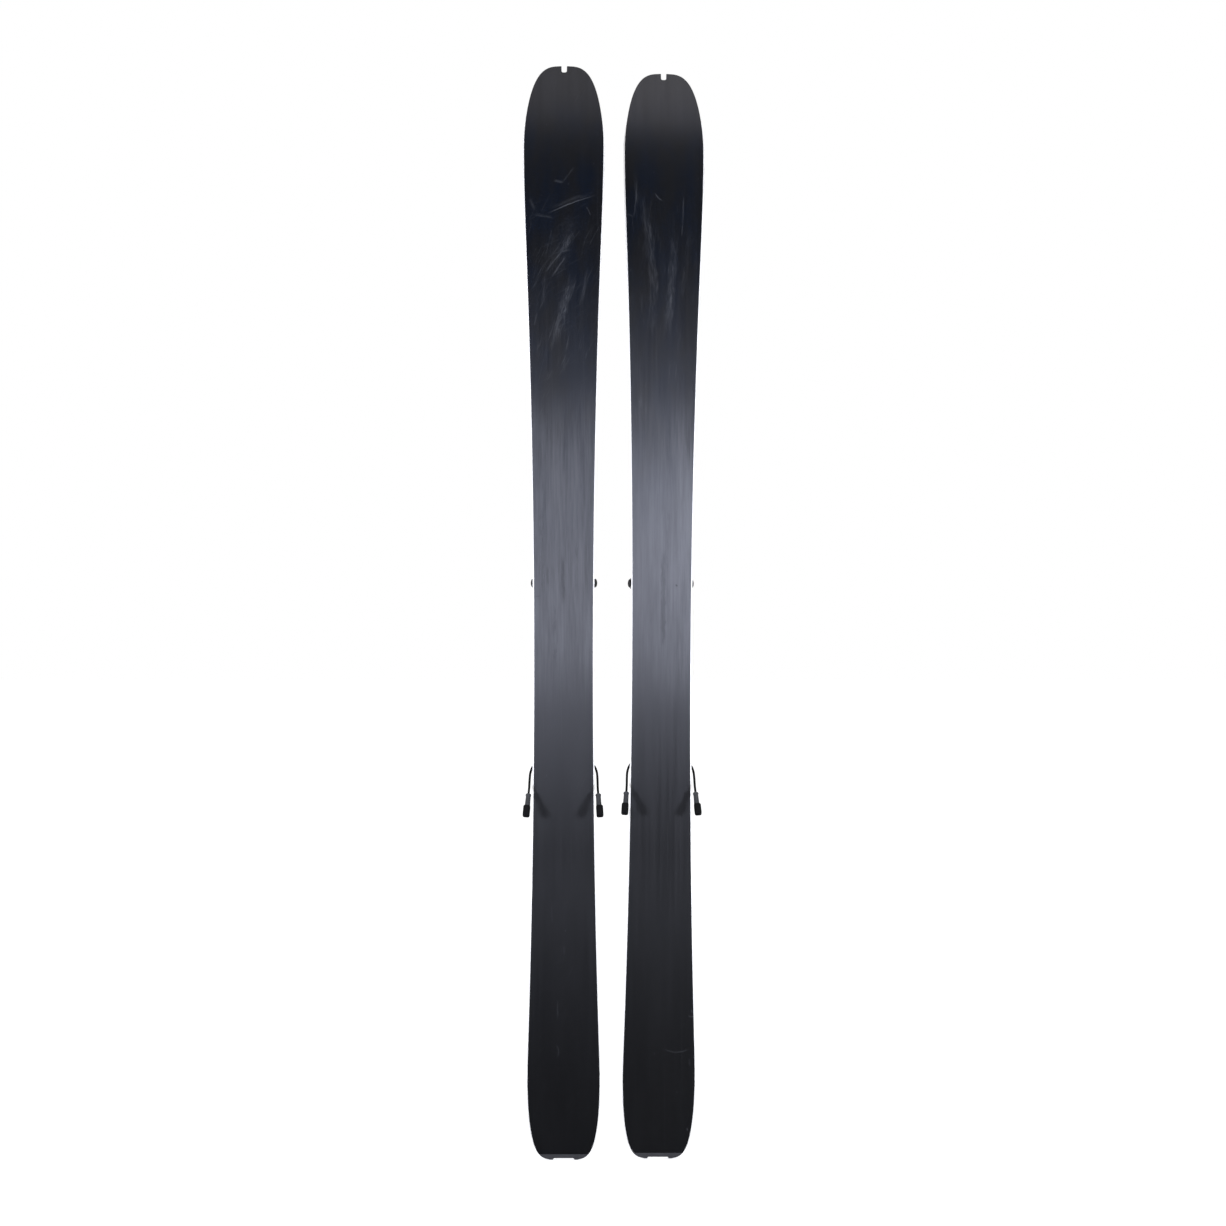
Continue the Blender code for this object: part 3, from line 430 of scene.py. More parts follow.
    # each base's own slight arch
    whole, low_part, level, blend = CAMBER_TILT[side]
    bend = m.node("ShaderNodeMath", {0: z, 1: level, 2: blend}, operation="SMOOTH_MIN")
    m.bump(m.math("MULTIPLY_ADD", bend.outputs[0], low_part, m.math("MULTIPLY", z, whole)), 1.0, 1.0)
    m.bump(fine, 0.20, 0.00004)
    m.bump(streak, 0.12, 0.00010)
    m.bump(m.math("MULTIPLY", light, -1.0), 0.35, 0.00006)
    return m.m


def steel_edge():
    """Ground steel, finely brushed across, with a few rougher, darker rust spots. Its near-white, mostly non-metallic
    colour is painted reflection of the bright room at the sides.
    """
    # painted reflection: near-white base colour at low metallic, so the edges look pale from every side
    m = Mat("edge_steel", (0.88, 0.86, 0.80), 0.42, 0.35)
    grind = m.noise(1.0, 3.0, 0.6, m.place((900, 900, 14)))
    across = m.noise(1.0, 4.0, 0.7, m.place((30, 30, 2400)))
    rust = m.ramp(m.noise(55.0, 4.0, 0.65), (0.62, 0.0), (0.76, 1.0))
    # painted reflection, paler and darker with the grinding grain
    tone = m.mix(grind, (0.84, 0.82, 0.76), (0.95, 0.93, 0.87))
    m.link(m.mix(m.math("MULTIPLY", rust, 0.25), tone, (0.45, 0.43, 0.42)), "Base Color")
    r = m.math("MULTIPLY_ADD", grind, 0.16, 0.34)
    m.link(m.math("MULTIPLY_ADD", rust, 0.15, r), "Roughness")
    m.bump(across, 0.25, 0.00003)
    m.bump(m.ramp(m.noise(420.0, 2.0), (0.66, 0.0), (0.72, 1.0)), -0.4, 0.00010)
    return m.m


def sidewall_plastic():
    m = Mat("sidewall_plastic", (0.56, 0.57, 0.59), 0.46)
    grain = m.noise(1.0, 3.0, 0.6, m.place((500, 500, 60)))
    dirt = m.ramp(m.noise(1.0, 4.0, 0.6, m.place((60, 60, 9))), (0.52, 0.0), (0.75, 1.0))
    tone = m.mix(grain, (0.52, 0.53, 0.55), (0.64, 0.65, 0.67))
    m.link(m.mix(m.math("MULTIPLY", dirt, 0.55), tone, (0.24, 0.24, 0.24)), "Base Color")
    m.link(m.math("MULTIPLY_ADD", grain, 0.18, 0.38), "Roughness")
    m.bump(grain, 0.2, 0.00006)
    return m.m


def top_sheet():
    """Satin anthracite sheet with plain tonal bands, fine cross texture and rubbed rims."""
    m = Mat("topsheet", (0.03, 0.034, 0.04), 0.33, Coat_Weight=0.25, Coat_Roughness=0.18)
    x, z = m.axis("X"), m.axis("Z")
    diag = m.math("MULTIPLY_ADD", x, 1.15, z)
    band = m.window(diag, 1.30, 1.50, 0.002)
    band2 = m.window(diag, 0.16, 0.40, 0.002)
    thin = m.math("MAXIMUM", m.window(diag, 1.275, 1.283, 0.0006), m.window(diag, 0.417, 0.425, 0.0006))
    field = m.math("MAXIMUM", band, band2)
    grain = m.noise(900.0, 2.0)
    cloud = m.noise(1.0, 3.0, 0.5, m.place((9, 9, 4)))
    tone = m.mix(cloud, (0.020, 0.023, 0.028), (0.036, 0.040, 0.047))
    tone = m.mix(m.math("MULTIPLY", field, 0.9), tone, (0.085, 0.115, 0.135))
    tone = m.mix(m.math("MULTIPLY", thin, 0.9), tone, (0.42, 0.44, 0.45))
    rub = m.noise(1.0, 5.0, 0.65, m.place((700, 700, 22), (0, math.radians(7), 0)), 0.2)
    rub = m.ramp(rub, (0.66, 0.0), (0.76, 1.0))
    m.link(m.mix(m.math("MULTIPLY", rub, 0.30), tone, (0.22, 0.23, 0.24)), "Base Color")
    r = m.math("MULTIPLY_ADD", grain, 0.12, 0.28)
    m.link(m.math("MULTIPLY_ADD", rub, 0.22, r), "Roughness")
    m.bump(grain, 0.12, 0.00004)
    m.bump(m.noise(1.0, 2.0, 0.5, m.place((1300, 1300, 1300), (0, 0.785, 0))), 0.10, 0.00004)
    return m.m


def moulded(name, colour, rough, grain_scale=1500.0, scuff=0.25, more=None):
    """Glass-filled moulded plastic: fine grain, slight mottling, rubbed high spots."""
    m = Mat(name, colour, rough, **(more or {}))
    grain = m.noise(grain_scale, 3.0, 0.6)
    mottle = m.noise(70.0, 3.0)
    dark = tuple(c * 0.75 for c in colour)
    pale = tuple(c * 1.5 + 0.0012 for c in colour)
    tone = m.mix(mottle, dark, pale)
    rub = m.noise(1.0, 5.0, 0.65, m.place((420, 420, 90), (0.5, 0.3, 0.2)), 0.3)
    rub = m.ramp(rub, (0.62, 0.0), (0.76, 1.0))
    m.link(m.mix(m.math("MULTIPLY", rub, scuff), tone, (0.16, 0.16, 0.165)), "Base Color")
    r = m.math("MULTIPLY_ADD", grain, 0.22, rough - 0.11)
    m.link(m.math("MULTIPLY_ADD", rub, 0.12, r), "Roughness")
    m.bump(grain, 0.30, 0.00005)
    m.bump(mottle, 0.10, 0.00020)
    return m.m


def metal(name, colour, rough, stretch=(300, 300, 300), wear=0.0):
    """Machined or anodised metal: fine brushed grain, small variations, rubbed spots."""
    m = Mat(name, colour, rough, 1.0)
    grain = m.noise(1.0, 3.0, 0.6, m.place(stretch))
    mottle = m.noise(90.0, 3.0)
    dark = tuple(c * 0.82 for c in colour)
    pale = tuple(min(1.0, c * 1.2) for c in colour)
    tone = m.mix(mottle, dark, pale)
    if wear:
        rub = m.ramp(m.noise(160.0, 4.0, 0.7), (0.60, 0.0), (0.70, 1.0))
        tone = m.mix(m.math("MULTIPLY", rub, wear), tone, (0.45, 0.45, 0.46))
    m.link(tone, "Base Color")
    m.link(m.math("MULTIPLY_ADD", grain, 0.20, rough - 0.10), "Roughness")
    m.bump(grain, 0.14, 0.00004)
    return m.m


def wood():
    m = Mat("core_wood", (0.55, 0.38, 0.20), 0.6)
    grain = m.noise(1.0, 5.0, 0.6, m.place((260, 260, 5)), 0.4)
    strips = m.node("ShaderNodeTexWave", {"Vector": m.co, "Scale": 32.0, "Distortion": 0.0}).outputs["Fac"]
    tone = m.mix(grain, (0.34, 0.20, 0.09), (0.68, 0.50, 0.29))
    m.link(m.mix(m.math("MULTIPLY", strips, 0.35), tone, (0.60, 0.46, 0.30)), "Base Color")
    m.link(m.math("MULTIPLY_ADD", grain, 0.2, 0.5), "Roughness")
    m.bump(grain, 0.3, 0.0001)
    return m.m


BASE = {s: running_base(s) for s in PLACES}
STEEL = steel_edge()
SIDEWALL = sidewall_plastic()
TOPSHEET = top_sheet()
WOOD = wood()
SPACER = moulded("spacer_plastic", (0.010, 0.010, 0.011), 0.45)
PROTECTOR = moulded("protector_plastic", (0.030, 0.030, 0.032), 0.46, 1200.0, 0.35)
PLASTIC = moulded("binding_plastic", (0.012, 0.012, 0.013), 0.44)
SLEEVE = moulded("brake_sleeve", (0.028, 0.029, 0.030), 0.52, 900.0, 0.30)
FOOT = moulded("brake_foot", (0.0022, 0.0022, 0.0025), 0.50, 1300.0, 0.08, {"Specular_IOR_Level": 0.12})
PEDAL = moulded("pedal_plastic", (0.016, 0.016, 0.017), 0.46, 1300.0, 0.35)
BLACK_ALLOY = metal("anodised_alloy", (0.030, 0.030, 0.033), 0.34, (700, 700, 700), 0.08)
ALLOY = metal("bright_alloy", (0.60, 0.61, 0.63), 0.30, (1600, 1600, 60))
PIN_STEEL = metal("pin_steel", (0.55, 0.55, 0.56), 0.22, (900, 900, 120))
CAP = metal("jaw_cap", (0.018, 0.018, 0.019), 0.38, (700, 700, 700), 0.05)
WIRE = moulded("wire_coat", (0.0030, 0.0030, 0.0034), 0.50, 2200.0, 0.05, {"Specular_IOR_Level": 0.10})
SCREW = metal("screw_steel", (0.28, 0.28, 0.29), 0.30, (800, 800, 800), 0.10)

# ---------------------------------------------------------------- shapes
WORK = bpy.data.collections.new("work")
bpy.context.scene.collection.children.link(WORK)


def thing(bm, at=None, recalc=True):
    """A working solid, its mesh in the ski's own coordinates."""
    if recalc:
        bmesh.ops.recalc_face_normals(bm, faces=bm.faces)
    if at is not None:
        bmesh.ops.transform(bm, verts=bm.verts, matrix=at)
    data = bpy.data.meshes.new("solid")
    bm.to_mesh(data)
    bm.free()
    obj = bpy.data.objects.new("solid", data)
    WORK.objects.link(obj)
    return obj


def combine(kind, obj, *others):
    """Boolean union or difference, applied."""
    for o in others:
        m = obj.modifiers.new("b", "BOOLEAN")
        m.operation, m.object = kind, o
    bpy.context.view_layer.update()
    dg = bpy.context.evaluated_depsgraph_get()
    data = bpy.data.meshes.new_from_object(obj.evaluated_get(dg))
    obj.modifiers.clear()
    old, obj.data = obj.data, data
    bpy.data.meshes.remove(old)
    for o in others:
        bpy.data.objects.remove(o)
    return obj


def join(obj, *others):
    return combine("UNION", obj, *others)


def cut(obj, *others):
    return combine("DIFFERENCE", obj, *others)


def box(low, high, at=None, r=0.0, segs=3, top=None, axis=None):
    """A box, its edges rounded by r. top=(x scale, z scale, x shift) narrows its +Y face."""
    low, high = Vector(low), Vector(high)
    bm = bmesh.new()
    bmesh.ops.create_cube(bm, size=1.0)
    for v in bm.verts:
        if top and v.co.y > 0:
            v.co.x = v.co.x * top[0] + top[2] / (high.x - low.x)
            v.co.z *= top[1]
    bmesh.ops.scale(bm, verts=bm.verts, vec=high - low)
    bmesh.ops.translate(bm, verts=bm.verts, vec=(low + high) / 2)
    if r:
        edges = bm.edges[:]
        if axis is not None:  # only the edges that run along one axis
            edges = [e for e in edges if abs((e.verts[0].co - e.verts[1].co).normalized()[axis]) > 0.9]
        bmesh.ops.bevel(bm, geom=edges, offset=r, segments=segs, profile=0.5, affect="EDGES")
    return thing(bm, at)


def rod(start, end, radius, end_radius=None, at=None, sides=40):
    start, end = Vector(start), Vector(end)
    along = end - start
    bm = bmesh.new()
    bmesh.ops.create_cone(
        bm, cap_ends=True, segments=sides, radius1=radius,
        radius2=radius if end_radius is None else end_radius, depth=along.length,
    )
    turn = Vector((0, 0, 1)).rotation_difference(along.normalized()).to_matrix().to_4x4()
    bmesh.ops.transform(bm, verts=bm.verts, matrix=Matrix.Translation((start + end) / 2) @ turn)
    return thing(bm, at)


def turned(profile, start, along, at=None, sides=40):
    """A turned solid: (distance along, radius) pairs from one end on the axis to the other."""
    start, along = Vector(start), Vector(along).normalized()
    turn = Vector((0, 0, 1)).rotation_difference(along).to_matrix()
    bm = bmesh.new()
    rings = []
    for d, r in profile:
        if r < 1e-7:
            rings.append([bm.verts.new(start + turn @ Vector((0, 0, d)))])
        else:
            rings.append([
                bm.verts.new(
                    start + turn @ Vector((r * math.cos(2 * math.pi * i / sides), r * math.sin(2 * math.pi * i / sides), d))
                )
                for i in range(sides)
            ])
    for a, b in zip(rings, rings[1:]):
        for i in range(sides):
            j = (i + 1) % sides
            quad = [a[i % len(a)], a[j % len(a)], b[j % len(b)], b[i % len(b)]]
            bm.faces.new(list(dict.fromkeys(quad)))
    for ring in (rings[0], rings[-1]):
        if len(ring) > 1:
            bm.faces.new(ring)
    return thing(bm, at)


def slab(points, y0, y1, r=0.0, at=None):
    """An outline in the ski's plane, (x, z) points, from height y0 to y1, with its top rim rounded."""
    bm = bmesh.new()
    low = [bm.verts.new((x, y0, z)) for x, z in points]
    high = [bm.verts.new((x, y1, z)) for x, z in points]
    n = len(points)
    for i in range(n):
        bm.faces.new((low[i], low[(i + 1) % n], high[(i + 1) % n], high[i]))
    bm.faces.new(low)
    rim = bm.faces.new(high)
    if r:
        bmesh.ops.bevel(bm, geom=list(rim.edges), offset=r, segments=3, profile=0.5, affect="EDGES")
    return thing(bm, at)


def rounded(half_x, z0, z1, radius, steps=9):
    points = []
    for cx, cz, a0 in (
        (half_x - radius, z1 - radius, 0), (-half_x + radius, z1 - radius, 90),
        (-half_x + radius, z0 + radius, 180), (half_x - radius, z0 + radius, 270),
    ):
        for i in range(steps + 1):
            a = math.radians(a0 + 90 * i / steps)
            points.append((cx + radius * math.cos(a), cz + radius * math.sin(a)))
    return points


def loft(z0, z1, section):
    """A long solid through section(z), a closed loop of (x, y) points, always as many."""
    bm = bmesh.new()
    rings = [[bm.verts.new((x, y, z)) for x, y in section(z)] for z in stations(z0, z1)]
    n = len(rings[0])
    for a, b in zip(rings, rings[1:]):
        for i in range(n):
            j = (i + 1) % n
            bm.faces.new((a[i], a[j], b[j], b[i]))
    bm.faces.new(rings[0])
    bm.faces.new(rings[-1])
    return thing(bm)


def smooth_line(points, each=8):
    pts = [Vector(p) for p in points]
    pts = [2 * pts[0] - pts[1], *pts, 2 * pts[-1] - pts[-2]]
    line = []
    for i in range(1, len(pts) - 2):
        a, b, c, d = pts[i - 1 : i + 3]
        for k in range(each):
            t = k / each
            line.append(
                0.5 * (2 * b + (c - a) * t + (2 * a - 5 * b + 4 * c - d) * t * t + (3 * b - a - 3 * c + d) * t**3)
            )
    line.append(pts[-2])
    return line


def tube(points, radius, at=None, sides=16, tip=None):
    """A round wire along the points. tip narrows both ends by that much over their last point."""
    pts = [Vector(p) for p in points]
    bm = bmesh.new()
    rings, side = [], None
    for i, p in enumerate(pts):
        t = (pts[min(i + 1, len(pts) - 1)] - pts[max(i - 1, 0)]).normalized()
        if side is None:
            side = t.orthogonal().normalized()
        side = (side - side.dot(t) * t).normalized()
        up = t.cross(side)
        r = radius - (tip if tip and i in (0, len(pts) - 1) else 0.0)
        rings.append([
            bm.verts.new(p + r * (math.cos(2 * math.pi * k / sides) * side + math.sin(2 * math.pi * k / sides) * up))
            for k in range(sides)
        ])
    for a, b in zip(rings, rings[1:]):
        for i in range(sides):
            j = (i + 1) % sides
            bm.faces.new((a[i], a[j], b[j], b[i]))
    bm.faces.new(rings[0])
    bm.faces.new(rings[-1])
    return thing(bm, at)


def piece(obj, side, name, mat, body, nodes=(), soften=0.0, angle=32, segs=2):
    """Finishes a solid: softened edges, smooth shading, its material, its body."""
    full = side + "_ski_" + name
    if soften:
        m = obj.modifiers.new("soften", "BEVEL")
        m.width, m.segments = soften, segs
        m.limit_method, m.angle_limit = "ANGLE", math.radians(38)
        m.use_clamp_overlap = True
        m.miter_outer = "MITER_ARC"
        bpy.context.view_layer.update()
        data = bpy.data.meshes.new_from_object(obj.evaluated_get(bpy.context.evaluated_depsgraph_get()))
        obj.modifiers.clear()
        old, obj.data = obj.data, data
        bpy.data.meshes.remove(old)
    bm = bmesh.new()
    bm.from_mesh(obj.data)
    bmesh.ops.remove_doubles(bm, verts=bm.verts, dist=0.000002)
    bmesh.ops.dissolve_degenerate(bm, edges=bm.edges, dist=0.000002)
    bm.to_mesh(obj.data)
    bm.free()
    obj.data.shade_smooth()
    obj.data.set_sharp_from_angle(angle=math.radians(angle))
    obj.data.materials.clear()
    obj.data.materials.append(mat)
    obj.name = obj.data.name = full + "_look"
    WORK.objects.unlink(obj)
    bpy.context.scene.collection.objects.link(obj)
    obj.matrix_world = PLACES[side]
    bpy.context.view_layer.update()
    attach(obj, body)
    if nodes:
        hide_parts(*[side + "_ski_" + n for n in nodes])
    return obj


def axis_at(location, euler=(0, 0, 0)):
    from mathutils import Euler

    return Matrix.Translation(location) @ Euler(euler).to_matrix().to_4x4()


# ---------------------------------------------------------------- one ski
def notch_cutter():
    w, z0 = NOTCH_WIDTH / 2, LENGTH - NOTCH_DEPTH
    pts = []
    for i in range(9):  # rounded corners at the bottom, sides that open a little upwards
        a = math.radians(180 + 90 * i / 8)
        pts.append((-w + 0.0029 + 0.0029 * math.cos(a), z0 + 0.0029 + 0.0029 * math.sin(a)))
    for i in range(9):
        a = math.radians(270 + 90 * i / 8)
        pts.append((w - 0.0029 + 0.0029 * math.cos(a), z0 + 0.0029 + 0.0029 * math.sin(a)))
    pts += [(w + 0.0007, LENGTH + 0.02), (-w - 0.0007, LENGTH + 0.02)]
    return slab(pts, 0.030, 0.090)


def build_laminate(side):
    body = side + "_ski"
    z_low = PROTECTOR_HEIGHT + SEAM

    def base_section(z):
        w = sheet_half(z) - SEAM
        y0, y1 = base_y(z), base_y(z) + BASE_THICK
        return [(-w, y0), (-w / 3, y0), (w / 3, y0), (w, y0), (w, y1), (-w, y1)]

    base = cut(loft(z_low, LENGTH, base_section), notch_cutter())
    piece(base, side, "base", BASE[side], body, ["base"])

    for s, hand in ((-1, "left"), (1, "right")):

        def edge_section(z, s=s):
            a, e = sheet_half(z), edge_width(z)
            b, c = a + e, min(0.00045, e * 0.3)
            y0, y1 = base_y(z), base_y(z) + BASE_THICK
            return [
                (s * a, y0), (s * (b - c), y0 + 0.00002), (s * (b - 0.35 * c), y0 + 0.25 * c),
                (s * b, y0 + c), (s * b, y1), (s * a, y1),
            ]

        piece(loft(z_low, Z_EDGE_END, edge_section), side, "edge_" + hand, STEEL, body, ["edge_" + hand], angle=28)

        def wall_section(z, s=s):
            b = half_width(z)
            y0, y1 = base_y(z) + BASE_THICK + SEAM, top_y(z) - TOP_THICK - SEAM
            h = y1 - y0
            return [
                (s * (b - SIDEWALL_WIDTH), y0), (s * (b - 0.00004), y0), (s * (b - 0.00004), y0 + 0.25 * h),
                (s * (b - 0.0007), y1 - 0.1 * h), (s * (b - 0.0008), y1), (s * (b - SIDEWALL_WIDTH), y1),
            ]

        piece(loft(z_low, Z_SPACER, wall_section), side, "sidewall_" + hand, SIDEWALL, body, ["sidewall_" + hand])

    def spacer_section(z):
        b = half_width(z) - 0.0001
        y0, y1 = base_y(z) + BASE_THICK + SEAM, top_y(z) - TOP_THICK - SEAM
        return [(-b, y0), (b, y0), (b - 0.0005, y1), (-b + 0.0005, y1)]

    spacer = cut(loft(Z_SPACER + SEAM, LENGTH, spacer_section), notch_cutter())
    piece(spacer, side, "tip_spacer", SPACER, body, ["tip_spacer"])

    def top_section(z):
        b = half_width(z) - 0.0006 * smooth((z - 0.02) / 0.05) * smooth((1.74 - z) / 0.05) - 0.0001
        y0, y1 = top_y(z) - TOP_THICK, top_y(z)
        r = 0.0007
        rim = [(b - r + r * math.cos(a), y1 - r + r * math.sin(a)) for a in (0.0, 0.4, 0.8, 1.2, math.pi / 2)]
        return [(-b, y0), (b, y0), *rim, *[(-x, y) for x, y in reversed(rim)]]

    top = cut(loft(z_low, LENGTH, top_section), notch_cutter(), *[
        rod((x, TOP - 0.003, z), (x, TOP + 0.01, z), 0.0026, sides=20) for x, z in screw_places()
    ])
    piece(top, side, "topsheet", TOPSHEET, body, ["topsheet"], angle=40)

    # tail protector: rounded rim, shallow recess for a clip, a fine step above
    def protector_section(z):
        b = half_width(max(0.0, z)) + 0.0001
        y0, y1 = base_y(z) - 0.0002, top_y(z) + 0.0002
        r = 0.0012
        arc = [(math.cos(a), math.sin(a)) for a in (0.0, 0.52, 1.05, math.pi / 2)]
        low = [(b - r + r * c, y0 + r - r * q) for c, q in reversed(arc)]
        high = [(b - r + r * c, y1 - r + r * q) for c, q in arc]
        right = [*low, *high]
        return [*right, *[(-x, y) for x, y in reversed(right)]]

    protector = loft(0.0, PROTECTOR_HEIGHT, protector_section)
    recess = slab(
        [(-TAIL_NOTCH_HALF - 0.0022, -0.006), (TAIL_NOTCH_HALF + 0.0022, -0.006), (TAIL_NOTCH_HALF + 0.0022, -0.0002)]
        + [
            (TAIL_NOTCH_HALF - 0.0004 + 0.0026 * math.cos(a), TAIL_NOTCH_DEPTH * math.sin(a))
            for a in [math.pi / 2 * i / 6 for i in range(7)]
        ]
        + [
            (-TAIL_NOTCH_HALF + 0.0004 - 0.0026 * math.cos(a), TAIL_NOTCH_DEPTH * math.sin(a))
            for a in [math.pi / 2 * (6 - i) / 6 for i in range(7)]
        ]
        + [(-TAIL_NOTCH_HALF - 0.0022, -0.0002)],
        -0.01, 0.04,
    )
    protector = cut(protector, recess)
    piece(protector, side, "tail_protector", PROTECTOR, body, ["tail_protector"], soften=0.00035, segs=3)


def screw_places():
    toe = ((-0.017, -0.040), (0.017, -0.040), (-0.0225, 0.0375), (0.0225, 0.0375))
    heel = ((-0.018, 0.640), (0.018, 0.640), (0.0, 0.5815))
    return [(x, Z_PINS + z) for x, z in toe] + list(heel)


def build_screws(side):
    names = ["toe_screw_%d" % i for i in (1, 2, 3, 4)] + ["heel_screw_%d" % i for i in (1, 2, 3)]
    for k, ((x, z), name) in enumerate(zip(screw_places(), names, strict=True)):
        body = turned(
            [(-0.0134, 0.0), (-0.0122, 0.0015), (-0.0118, 0.0022), (0.0003, 0.0022), (0.0003, 0.0038), (0.0005, 0.0040),
             (0.0012, 0.0040), (0.0016, 0.0037), (0.0019, 0.0031), (0.0021, 0.0022), (0.0022, 0.0)],
            (x, PLATE_TOP, z), (0, 1, 0), sides=36,
        )
        turn = axis_at((x, PLATE_TOP, z), (0, 0.5 + 1.3 * k, 0))
        cross = join(
            box((-0.0021, 0.0007, -0.00042), (0.0021, 0.004, 0.00042), turn),
            box((-0.00042, 0.0007, -0.0021), (0.00042, 0.004, 0.0021), turn),
            rod((0, 0.0003, 0), (0, 0.0040, 0), 0.0008, 0.0014, turn, 20),
        )
        piece(cut(body, cross), side, name, SCREW, side + "_ski", [name], angle=30)


def build_toe(side):
    body = side + "_ski"
    z0, z1 = Z_PINS - 0.053, Z_PINS + 0.051
    plate = slab(rounded(0.031, z0, z1, 0.009), TOP + GAP, PLATE_TOP, 0.0009)
    # shallow pockets that lighten the plate
    for a, b in (((-0.0155, z0 + 0.0050), (0.0155, z0 + 0.0085)), ((-0.0130, Z_PINS - 0.0145), (0.0130, Z_PINS - 0.0105)),
                 ((-0.0130, Z_PINS + 0.0105), (0.0130, Z_PINS + 0.0145))):
        plate = cut(plate, box((a[0], TOP + 0.0036, a[1]), (b[0], TOP + 0.02, b[1]), r=0.0014, segs=3, axis=1))
    for a, b in ((-0.0235, -0.0185), (0.0185, 0.0235)):
        wall = box((-0.0305, TOP + 0.0040, Z_PINS + a), (0.0305, TOP + 0.0185, Z_PINS + b), r=0.0012, segs=3)
        plate = join(plate, wall)
    for s in (-1, 1):
        xs = sorted((s * 0.0100, s * 0.0142))
        ear = box((xs[0], TOP + 0.0040, Z_PINS + 0.0220), (xs[1], LEVER_Y + 0.0052, Z_LEVER + 0.0060), r=0.0010)
        plate = join(plate, ear)
    for s in (-1, 1):
        plate = cut(plate, rod((s * JAW_X, JAW_Y, Z_PINS - 0.031), (s * JAW_X, JAW_Y, Z_PINS + 0.031), 0.0043))
    plate = cut(plate, rod((-0.020, LEVER_Y, Z_LEVER), (0.020, LEVER_Y, Z_LEVER), 0.0024))
    for x, z in screw_places()[:4]:
        plate = cut(plate, rod((x, TOP - 0.004, z), (x, PLATE_TOP + 0.004, z), 0.0027, sides=24))
    piece(plate, side, "toe_plate", BLACK_ALLOY, body, ["toe_plate"], soften=0.0003)

    for s, hand, bod in ((-1, "left", "_jaw_l"), (1, "right", "_jaw_r")):
        at = axis_at((s * JAW_X, JAW_Y, Z_PINS), (0, 0, -s * JAW_OPEN))
        jaw = rod((0, 0, -0.0180), (0, 0, 0.0180), 0.0054, at=at)
        xs = sorted((s * -0.0045, s * 0.0045))
        arm = box((xs[0], -0.0010, -0.0150), (xs[1], 0.0290, 0.0150), at, r=0.0012, segs=3, top=(0.95, 0.56, s * 0.0146))
        boss = turned([(0, 0.0), (0, 0.0072), (0.0054, 0.0072), (0.0056, 0.0070), (0.0056, 0.0)], (s * 0.0095, 0.0225, 0), (s, 0, 0), at)
        core = rod((s * 0.0140, 0.0225, 0), (s * 0.0200, 0.0225, 0), 0.0040, at=at)
        cap = turned(
            [(0, 0.0), (0, 0.0066), (0.0004, 0.0071), (0.0009, 0.0071), (0.0017, 0.0067), (0.0024, 0.0058), (0.0028, 0.0047), (0.0029, 0.0040),
             (0.0023, 0.0036), (0.0023, 0.0)],
            (s * 0.0201, 0.0225, 0), (s, 0, 0), at,
        )
        xs = sorted((s * -0.0125, s * -0.0030))
        tail = box((xs[0], -0.0024, -0.0060), (xs[1], 0.0024, 0.0060), at, r=0.0007)
        trunnion = rod((0, 0, -0.0226), (0, 0, 0.0226), 0.0040, at=at)
        jaw = join(jaw, arm, boss, core, tail, trunnion)
        piece(jaw, side, "toe_jaw_" + hand, BLACK_ALLOY, side + bod, ["toe_jaw_" + hand], soften=0.0003)
        pin = turned(
            [(0, 0.0), (0, 0.0027), (0.0030, 0.0027), (0.0052, 0.0024), (0.0064, 0.0019), (0.0070, 0.0011), (0.0072, 0.0)],
            (s * 0.0110, 0.0225, 0), (-s, 0, 0), at,
        )
        piece(pin, side, "jaw_pin_" + hand, PIN_STEEL, side + bod, angle=50)
        # bright bush between the boss and its black cap
        collar = turned(
            [(0, 0.0041), (0, 0.0066), (0.0003, 0.0069), (0.0046, 0.0069), (0.0049, 0.0066), (0.0049, 0.0041), (0, 0.0041)],
            (s * 0.01515, 0.0225, 0), (s, 0, 0), at, 48,
        )
        piece(collar, side, "jaw_bush_" + hand, ALLOY, side + bod, angle=40)
        cap = cut(cap, rod((s * 0.0222, 0.0225, 0), (s * 0.0256, 0.0225, 0), 0.0018, at=at, sides=6))
        piece(cap, side, "jaw_cap_" + hand, CAP, side + bod, soften=0.0002)

    turns, each, half = 6, 26, 0.0108
    coil = []
    for i in range(turns * each + 1):
        a = 2 * math.pi * i / each
        coil.append((-half + 2 * half * i / (turns * each), JAW_Y + 0.0038 * math.cos(a), Z_PINS + 0.0038 * math.sin(a)))
    piece(tube(coil, 0.00062, sides=10), side, "toe_spring", PIN_STEEL, body, ["toe_spring"], angle=60)

    at = axis_at((0, LEVER_Y, Z_LEVER), (LEVER_REST, 0, 0))
    lever = box((-0.0088, -0.0024, 0.0010), (0.0088, 0.0024, 0.0500), at, r=0.0012)
    lever = join(lever, rod((-0.0093, 0, 0), (0.0093, 0, 0), 0.0050, at=at))
    lever = join(lever, box((-0.0150, -0.0018, 0.0420), (0.0150, 0.0046, 0.0660), at, r=0.0020, segs=4))
    lever = cut(lever, turned(
        [(0, 0.0), (0, 0.0010), (0.0003, 0.0030), (0.0012, 0.0048), (0.0026, 0.0059), (0.0060, 0.0066), (0.0060, 0.0)],
        (0, 0.0018, 0.0540), (0, 1, 0), at,
    ))
    for i in range(4):  # ribs that a pole tip finds, sunk into the arm
        z = 0.0115 + 0.0068 * i
        lever = cut(lever, box((-0.0066, 0.0016, z), (0.0066, 0.0040, z + 0.0042), at, r=0.0009, axis=1))
    for i in range(3):  # grooves under the pad's end
        z = 0.0625 - 0.0022 * i
        lever = cut(lever, box((-0.0170, 0.0041, z), (-0.0085, 0.0060, z + 0.0010), at))
        lever = cut(lever, box((0.0085, 0.0041, z), (0.0170, 0.0060, z + 0.0010), at))
    piece(lever, side, "toe_lever", PLASTIC, side + "_lever", ["toe_lever"], soften=0.0002)
    pin = turned(
        [(0, 0.0), (0, 0.0016), (0.0004, 0.0021), (0.0276, 0.0021), (0.0280, 0.0016), (0.0280, 0.0)],
        (-0.0140, 0, 0), (1, 0, 0), at, 28,
    )
